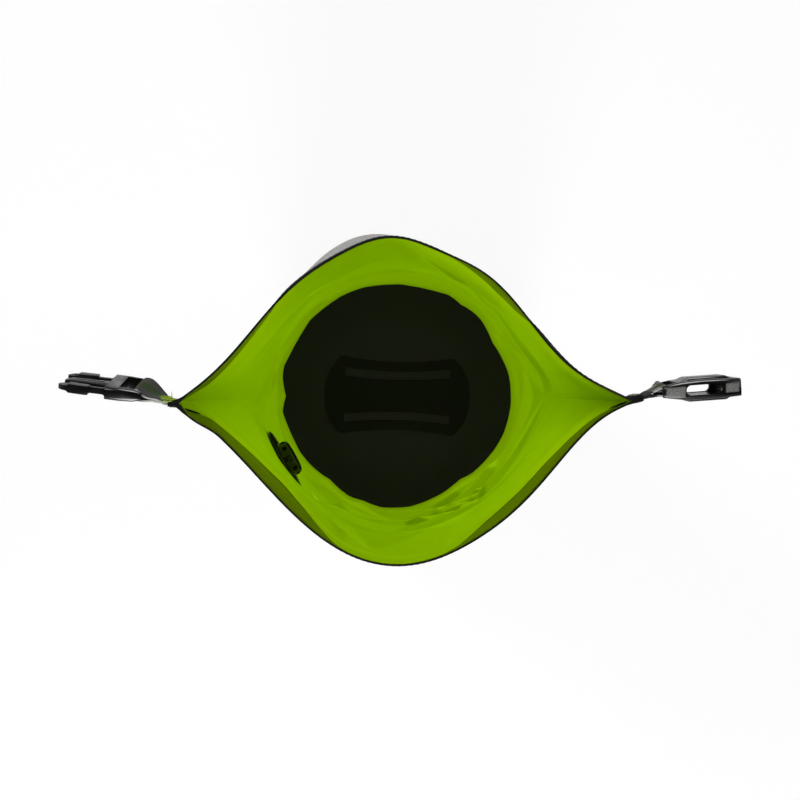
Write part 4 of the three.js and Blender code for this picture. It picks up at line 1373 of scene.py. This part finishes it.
@dataclass
class WebbingTab:
    """A webbing tab: sewn between the strips' tails, out round its buckle half's bar, and back."""

    collar: Collar
    end: End
    bar: tuple[float, float]
    yaw: float
    roll: float
    bellies: tuple[float, float]
    flare: tuple[tuple[float, float], ...]
    finish: Material
    stitch: Material
    height: float = 466.0
    width: float = 25.0
    thickness: float = 1.1
    gap: float = 0.3
    bar_radius: float = 2.2
    bar_clearance: float = 0.4

    @property
    def word(self) -> str:
        """The end's name in names of pieces."""
        return self.end.name.lower()

    def strap(self) -> Piece:
        """The strap in one length, both its layers and the turn round the bar.

        Returns:
            The strap.
        """
        layer = (self.thickness + self.gap) / 2
        inner = self.collar.tail(self.end, [1.6, 3.4, 5.4], 0.0)
        root = self.collar.tail(self.end, self.collar.tail_length + 1.55, 0.0)[0]
        way = np.array(self.bar) - root
        reach = float(np.linalg.norm(way))
        ahead = math.atan2(way[1], way[0])
        wrap = self.bar_radius + self.bar_clearance + self.thickness / 2

        def leg(belly: float) -> list[tuple[float, float]]:
            """One layer between the root and the bar, with its belly."""
            slack = ((0.0, layer), (0.16, layer), (0.32, 0.55 * belly + 0.45 * layer), (0.55, belly))
            return [(share * reach, off) for share, off in slack]

        left, right = (leg(belly) for belly in self.bellies)
        turns = np.radians(np.linspace(75, -75, 7))
        round_bar = [(reach + wrap * math.cos(t), wrap * math.sin(t)) for t in turns]
        local = [*left, *round_bar, *[(x, -y) for x, y in right[::-1]]]
        c, s = math.cos(ahead), math.sin(ahead)
        out = np.array([(root[0] + c * x - s * y, root[1] + s * x + c * y) for x, y in local])
        square = unit(np.array([[-s, c]]))[0]
        tail_square = self.collar.tail(self.end, 0.0, 1.0)[0] - self.collar.tail(self.end, 0.0, 0.0)[0]
        shift = (1.0 if float(square @ tail_square) > 0 else -1.0) * tail_square * layer
        line = resampled(curved(np.vstack([inner + shift, out, inner[::-1] - shift]), 10), 150)
        flat = np.column_stack([line, np.full(len(line), self.height)])
        away = (line - root) @ np.array([c, s])
        turn = smooth(away / (reach - self.bar_radius))[:, None]
        roll, yaw = math.radians(self.roll), math.radians(self.yaw)
        axis = np.array([math.sin(yaw) * math.sin(roll), -math.cos(yaw) * math.sin(roll), math.cos(roll)])
        shares, sizes = np.array(self.flare).T
        spread = np.interp(away / reach, shares, sizes) * ((line - root) @ square * self.end.value > 0)
        bulge = np.convolve(np.pad(spread, 3, mode="edge"), np.ones(7) / 7, "valid") * -self.end.value
        across = np.array([0, 0, 1.0]) * (1 - turn) + axis * turn
        across = unit(across + np.append(square, 0.0) * (bulge / self.width)[:, None])
        through = unit(np.cross(unit(np.gradient(flat, axis=0)), across))
        LOG.info("%s strap is %.1f mm long", self.word, distances(flat)[-1])
        outline = Profile.strap(self.width, self.thickness, 9)
        return Ribbon(f"{self.word}_tab_webbing", flat, across, through, outline).build()

    def stitches(self) -> Piece:
        """Rows of stitches through the tail, and their turns over its top edge.

        Returns:
            All the stitches.
        """
        sewn = Stitching(f"{self.word}_tab_stitches", 2.0, 0.3)
        heights = np.linspace(self.height - 12, self.height + 12, 30)
        for along in (2.4, 3.6, 4.8):
            for side in (1, -1):
                p, q = (self.collar.tail(self.end, along, side * (self.collar.tail_strip[1] + out))[0]
                        for out in (0.15, 1.15))
                line = np.column_stack([np.full(30, p[0]), np.full(30, p[1]), heights])
                sewn.row(line, np.tile(np.append(q - p, 0.0), (30, 1)), 2.6)
        return sewn.build()

    def build(self, body: Body) -> None:
        """Builds and dresses the tab.

        Args:
            body: Body of the loop, which swings from the bag.
        """
        strap = self.strap()
        Bench.dress(strap, self.finish)
        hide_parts(f"{self.word}_tab_anchor", f"{self.word}_tab_loop")
        reach, up = self.collar.tail_length, self.height * MM
        start, end = (self.collar.tail(self.end, reach + past, 0.0)[0] * MM for past in (0.0, 5.0))
        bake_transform(strap)
        LOG.info("%s bends from %s to %s", strap.name, Body.BAG.value, body.value)
        Bench.fit(self.stitches(), Body.BAG, Slot.RUBBER, self.stitch)


@dataclass
class LooseYarns:
    """Frayed ends of the lining that stick out at the plug's crease."""

    finishes: Finishes
    count: int = 16
    corner: Point = (-126.4, 0.6, 479.4)
    seed: int = 5

    def build(self) -> None:
        """Builds and dresses the yarns. The first stands up beside the crease."""
        rng = np.random.default_rng(self.seed)
        yarns = []
        for i in range(self.count):
            x, y, z = self.corner
            start = np.array([x - 2.6 * rng.random(), y + 1.5 * rng.random(), z + 1.2 * rng.random()])
            reach = rng.uniform(2.5, 8.0)
            aside = rng.uniform(-0.02, 0.2) * reach + rng.normal(0, 0.7)
            end = start + np.array([-reach, aside, rng.uniform(-0.6, 1.2)])
            middle = (start + end) / 2 + rng.normal(0, 0.8, 3) * (1, 1, 0.4)
            if i == 0:
                start = np.array([-128.2, 1.6, 480.2])
                middle, end = start + (-0.1, 1.6, 0.6), start + (-0.2, 4.0, 1.0)
            line = curved(np.vstack([start, middle, end]), 7)
            tangent = unit(np.gradient(line, axis=0))
            across = unit(np.cross(tangent, (0, 0, 1)))
            taper = np.linspace(1.0, 0.5, len(line))
            yarns.append(Ribbon(f"yarn_{i}", line, across, np.cross(tangent, across),
                                Profile.cord(rng.uniform(0.2, 0.34), 6), taper, taper).build())
        bundle = Bench.joined("frayed_lining_yarns", *yarns)
        Bench.fit(bundle, Body.BAG, Slot.LINING, self.finishes.fray)


@dataclass
class BaseHandle:
    """The handle's patches and band, inside and under the base."""

    finishes: Finishes
    half_length: float = 64.0
    corner: tuple[float, float] = (52.0, 34.0)
    waist: float = 29.8
    corner_radius: float = 5.0
    straight: float = 19.0
    window_half: float = 46.5
    slot_outer: float = 21.3
    slot_flare: float = 3.0
    band_half: float = 14.0
    floor: float = 9.0
    under: float = 7.8
    doubler_thickness: float = 1.0
    patch_thickness: float = 1.4
    grip_thickness: float = 1.75
    turn: float = -1.5

    def outline(self) -> Array:
        """The patch's outline.

        Returns:
            Points in plan, one a row.
        """
        (cx, cy), r, end = self.corner, self.corner_radius, self.half_length
        shoulder = (cx + r / 2, cy - r)
        quarter = [((end, 0), (end, self.straight), shoulder), (shoulder, (cx, cy), (cx - r, cy))]
        flipped = [tuple((-x, y) for x, y in arc[::-1]) for arc in quarter[::-1]]
        back = [*quarter, ((cx - r, cy), (0, 2 * self.waist - cy), (-cx + r, cy)), *flipped]
        arcs = [*back, *[tuple((-x, -y) for x, y in arc) for arc in back]]
        t = np.linspace(0, 1, 14, endpoint=False)[:, None]
        return np.vstack([(1 - t) ** 2 * np.array(a) + 2 * t * (1 - t) * np.array(b) + t**2 * np.array(c)
                          for a, b, c in arcs])

    def window(self, low: float, low_end: float, high: float, high_end: float) -> Array:
        """A long window between two bowed edges.

        Args:
            low: The lower edge's middle.
            low_end: Its ends.
            high: The upper edge's middle.
            high_end: Its ends.

        Returns:
            Points in plan, one a row.
        """
        t = np.linspace(-1, 1, 24)
        edges = ((t, low, low_end), (t[::-1], high, high_end))
        return np.vstack([np.stack([way * self.window_half, middle + (end - middle) * t**2], axis=1)
                          for way, middle, end in edges])

    def sheet(self, name: str, outlines: Sequence[Array], low: float, thickness: float,
              turn: float) -> Piece:
        """A cut sheet with rounded edges.

        Args:
            name: Name of the piece.
            outlines: The outline, then its windows.
            low: Height of its underside.
            thickness: Full thickness.
            turn: Turn about the bag's axis, in degrees.

        Returns:
            The sheet as a mesh.
        """
        curve = bpy.data.curves.new(name, "CURVE")
        curve.dimensions, curve.fill_mode = "2D", "BOTH"
        edge = 0.3 * thickness
        curve.extrude, curve.bevel_depth, curve.bevel_resolution = (thickness / 2 - edge) * MM, edge * MM, 3
        curve.offset = -edge * MM
        c, s = heading(turn)
        for points in outlines:
            spline = curve.splines.new("POLY")
            spline.points.add(len(points) - 1)
            for point, (x, y) in zip(spline.points, points):
                point.co = ((c * x - s * y) * MM, (s * x + c * y) * MM, 0.0, 1.0)
            spline.use_cyclic_u = True
        Bench.pick(Bench.placed(name, curve))
        bpy.ops.object.convert(target="MESH")
        obj = bpy.context.object
        obj.data.transform(Matrix.Translation((0.0, 0.0, (low + thickness / 2) * MM)))
        Bench.weld(obj, 0.01)
        layer = obj.data.uv_layers.active or obj.data.uv_layers.new(name="UVMap")
        for loop in obj.data.loops:
            layer.data[loop.index].uv = obj.data.vertices[loop.vertex_index].co[:2]
        Bench.soften(obj, 50)
        return obj

    def band(self) -> Piece:
        """The slack webbing grip under the base.

        Returns:
            The band, whose ends rise to the underside of the patch.
        """
        x = np.linspace(-60, 60, 90)
        seat = self.under - 0.6 - self.patch_thickness - 1.8
        z = seat * smooth((np.abs(x) - 26) / (self.window_half - 26)) + 0.9
        line = np.stack([x, 0 * x, z], axis=1)
        across = np.tile((0.0, 1.0, 0.0), (len(x), 1))
        through = np.cross(unit(np.gradient(line, axis=0)), across)
        outline = Profile.strap(2 * self.band_half, self.grip_thickness, 11)
        return Ribbon("handle_grip", line, across, through, outline).build()

    def build(self) -> None:
        """Builds and dresses the handle."""
        look, outer, inner = self.finishes, self.slot_outer, self.band_half
        edge = outer + self.slot_flare
        slots = [self.window(sign * inner, sign * (inner + self.slot_flare), sign * outer, sign * edge)
                 for sign in (1, -1)]
        hole = self.window(-outer, -edge, outer, edge)
        patch = self.outline()
        inside = self.sheet("handle_doubler_sewn", [patch, *slots], self.floor + 0.25, self.doubler_thickness,
                            self.turn)
        under = self.sheet("handle_patch_sewn", [patch, hole], self.under - 1.7, self.patch_thickness, 0.0)
        Bench.fit(inside, Body.BAG, Slot.BASE, look.patch, ["handle_doubler"])
        Bench.fit(under, Body.BAG, Slot.BASE, look.patch, ["handle_patch"])
        Bench.fit(self.band(), Body.BAG, Slot.WEBBING, look.grip, ["handle_band"])


@dataclass
class MouldedParts:
    """The rigid moulded pieces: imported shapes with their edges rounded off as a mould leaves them."""

    nodes: dict[str, Piece]
    finishes: Finishes
    sharp: float = 34.0
    screen_radius: float = 11.5
    screen_depth: float = 5.0

    def rounded(self, node: str, radius: float) -> Piece:
        """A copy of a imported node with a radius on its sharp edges.

        Args:
            node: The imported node.
            radius: Radius on its edges.

        Returns:
            The rounded copy.
        """
        obj = Bench.placed(f"{node}_moulded", self.nodes[node].data.copy())
        Bench.weld(obj, 0.002)
        Bench.edit(obj, lambda: bpy.ops.mesh.dissolve_limited(angle_limit=math.radians(1.0)))
        Bench.apply(obj, "BEVEL", width=radius * MM, segments=3, limit_method="ANGLE",
                    angle_limit=math.radians(self.sharp), use_clamp_overlap=True, harden_normals=False)
        Bench.apply(obj, "TRIANGULATE")
        Bench.soften(obj, 42)
        return obj

    def screen(self, body: Piece, section: BagSection) -> Piece:
        """A fine dark screen behind the windows of the valve's cage.

        Args:
            body: The valve's body, whose cage points into the bag.
            section: The bag's wall, which knows the valve's place.

        Returns:
            The screen, a short tube.
        """
        up = np.array([0, 0, 1.0])
        out = np.append(heading(section.valve_azimuth), 0.0)
        aside = np.cross(up, out)
        start = min(float(np.array(v.co) @ out) for v in body.data.vertices) / MM + 1.9
        obj = Bench.grid("valve_screen", 48, 4)

        def place(u: Array, v: Array) -> Array:
            """Points round the valve's axis."""
            angle = TURN * u
            return (out * (start + self.screen_depth * v)[:, None]
                    + aside * (self.screen_radius * np.cos(angle))[:, None]
                    + up * (section.valve_height + self.screen_radius * np.sin(angle))[:, None])

        Bench.shape(obj, place)
        Bench.weld(obj)
        Bench.apply(obj, "SOLIDIFY", thickness=0.25 * MM, offset=-1.0)
        return obj

    def build(self, section: BagSection) -> None:
        """Builds and dresses the buckle and the valve.

        Args:
            section: The bag's wall.
        """
        look = self.finishes
        rows = (
            ("plug_frame", 1.3, Body.PLUG, Slot.BUCKLE, look.buckle),
            ("plug_arm_upper", 1.2, Body.UPPER_ARM, Slot.BUCKLE, look.buckle),
            ("plug_arm_lower", 1.2, Body.LOWER_ARM, Slot.BUCKLE, look.buckle),
            ("socket_body", 0.8, Body.SOCKET, Slot.BUCKLE, look.socket),
            ("valve_body", 0.25, Body.BAG, Slot.VALVE, look.valve),
            ("valve_ring", 0.3, Body.BAG, Slot.VALVE, look.valve),
            ("valve_cap", 0.3, Body.CAP, Slot.VALVE, look.valve),
        )
        for node, radius, body, slot, finish in rows:
            piece = self.rounded(node, radius)
            if node == "valve_body":
                Bench.joined(piece.name, piece, self.screen(piece, section))
            Bench.fit(piece, body, slot, finish, [node])
        for node in ("valve_gasket", "valve_diaphragm"):
            Bench.dress(self.nodes[node], look.soft_rubber)
            LOG.info("%s keeps its packed shape", node)


@dataclass
class Studio:
    """Camera, floor, world and lamps."""

    place: Point = (-13.0, 8.0, 1255.0)
    aim: Point = (2.7, -3.6, 0.0)
    focal: float = 63.45
    world: float = 0.3
    inner_level: float = 0.3
    inner: tuple[tuple[float, float, float], ...] = (
        (0, 50, 0.6735), (0, 160, 0.3396), (0, 220, 0.3436), (0, 280, 0.0836), (0, 340, 0.27), (0, 440, 0.4),
        (60, 290, 0.03), (-72, 290, 0.0343), (66, 350, 0.03), (-72, 350, 0.04), (-72, 410, 0.0265),
        (72, 440, 0.0448), (-72, 440, 0.0371),
        (97, 425, 0.004), (-97, 425, 0.004),
    )

    def camera(self) -> None:
        """Puts the camera above the mouth, with +Y up in the picture."""
        data = bpy.data.cameras.new("camera")
        data.lens, data.sensor_width, data.clip_start, data.clip_end = self.focal, 36.0, 0.01, 50.0
        obj = Bench.placed("camera", data)
        obj.location = Vector(self.place) * MM
        back = (Vector(self.place) - Vector(self.aim)).normalized()
        right = Vector((0, 1, 0)).cross(back).normalized()
        obj.rotation_euler = Matrix((right, back.cross(right), back)).transposed().to_euler()
        bpy.context.scene.camera = obj

    def floor(self) -> None:
        """A wide pale floor that keeps the object's shadow."""
        Bench.pick()
        bpy.ops.mesh.primitive_plane_add(size=14.0)
        obj = bpy.context.object
        obj.name = "studio_floor"
        graph = Surface("studio_floor")
        glow = graph.node("Emission", Color=(1.0, 1.0, 1.0, 1.0), Strength=0.8)
        pale = graph.node("BsdfDiffuse", Color=(0.3, 0.3, 0.3, 1.0))
        both = graph.node("AddShader", in0=glow.outputs[0], in1=pale.outputs[0])
        graph.feed(graph.out, graph.by_ray("Camera", graph.shader.outputs[0], both.outputs[0]))
        Bench.dress(obj, graph.finish(Base_Color=(0.9, 0.9, 0.9, 1.0), Roughness=0.9, Specular_IOR_Level=0.0))

    def sky(self) -> None:
        """A pale world, white to the camera. Glosses see it dark overhead and white at the floor."""
        graph = Graph(bpy.data.worlds.new("studio_world"))
        bpy.context.scene.world = graph.owner
        height = graph.part(graph.point("Generated"), "Z")
        even, glossy, white = (graph.node("Background", Color=(1, 1, 1, 1), Strength=strength).outputs[0]
                               for strength in (self.world, graph.ramp(height, 0.05, 0.7, 0.9, 0.05), 1.0))
        graph.feed(graph.out, graph.by_ray("Camera", graph.by_ray("Glossy", even, glossy), white))

    def lamp(self, name: str, kind: str, place: Point, power: float, size: float,
             aim: Point) -> Piece:
        """A soft lamp, not seen by the camera.

        Args:
            name: Name of the lamp.
            kind: AREA or POINT.
            place: Where it stands.
            power: Its power in watts.
            size: Its width, or the radius of a point lamp.
            aim: What it is turned to.

        Returns:
            The lamp.
        """
        data = bpy.data.lights.new(name, kind)
        data.energy = power
        if kind == "AREA":
            data.shape, data.size = "DISK", size * MM
        else:
            data.shadow_soft_size = size * MM
        obj = Bench.placed(name, data)
        obj.location = Vector(place) * MM
        obj.rotation_euler = (Vector(aim) - Vector(place)).to_track_quat("-Z", "Y").to_euler()
        obj.visible_camera = False
        return obj

    def lamps(self) -> bpy.types.Collection:
        """Soft lamps round the bag, and a row of faint ones down its axis for an even inside.

        Returns:
            The collection of pieces that the lowest one leaves out.
        """
        middle, mouth = (0.0, 0.0, 350.0), (0.0, 0.0, 466.0)
        for name, place, power, size, aim in (
                ("key_lamp", (-600, 500, 1400), 4.0, 320, middle),
                ("fill_lamp", (900, 300, 1300), 2.4, 700, middle),
                ("front_lamp", (-100, -1200, 900), 7.0, 500, middle),
                ("near_gloss_lamp", (-150, -1050, 1050), 34.0, 800, mouth),
                ("far_gloss_lamp", (150, 1150, 850), 22.0, 700, mouth)):
            self.lamp(name, "AREA", place, power, size, aim).visible_diffuse = "gloss" not in name
        shaded = bpy.data.collections.new("shaded_from_the_lowest_lamp")
        for i, (x, z, share) in enumerate(self.inner):
            size = min(16.0, 0.16 * (137 - abs(x)))
            obj = self.lamp(f"inside_lamp_{i}", "POINT", (x, 0, z), share * self.inner_level, size, middle)
            obj.visible_glossy = False
            if z < 100:
                obj.light_linking.receiver_collection = shaded
        return shaded

    def build(self) -> bpy.types.Collection:
        """Sets the whole studio, and gives the collection of pieces that the lowest lamp leaves out."""
        self.camera()
        self.floor()
        self.sky()
        bpy.context.scene.view_settings.view_transform = "Standard"
        return self.lamps()


def main() -> None:
    """Builds the looks of the bag round the frame."""
    logging.basicConfig(level=logging.INFO, format="%(name)s: %(message)s")
    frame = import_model()
    shaded = Studio().build()
    finishes = Finishes()
    section = BagSection()
    BagWall(section, finishes).build()
    collar = Collar(section, finishes)
    collar.build()
    plug_flare = ((0.0, 0.0), (0.1, 1.6), (0.41, 2.6), (0.65, 4.0), (0.9, 4.6), (1.02, 3.2), (1.12, 0.8),
                  (1.2, 0.0))
    socket_flare = ((0.78, 0.0), (0.88, 1.6), (1.0, 4.0), (1.12, 3.6), (1.24, 1.4), (1.3, 0.0))
    WebbingTab(collar, End.PLUG, (-147.3, 6.1), 173.0, -13.0, (1.0, 1.9), plug_flare, finishes.webbing,
               finishes.stitch).build(Body.PLUG_TAB)
    WebbingTab(collar, End.SOCKET, (143.8, 5.9), 4.0, 1.0, (1.6, 1.3), socket_flare, finishes.sewn_webbing,
               finishes.stitch).build(Body.SOCKET_TAB)
    LooseYarns(finishes).build()
    BaseHandle(finishes).build()
    MouldedParts(frame["nodes"], finishes).build(section)
    for name in ("base_cup_welded", "handle_doubler_sewn", "handle_patch_sewn", "handle_grip"):
        shaded.objects.link(bpy.data.objects[name])
    for member in shaded.collection_objects:
        member.light_linking.link_state = "EXCLUDE"


if __name__ == "__main__":
    main()
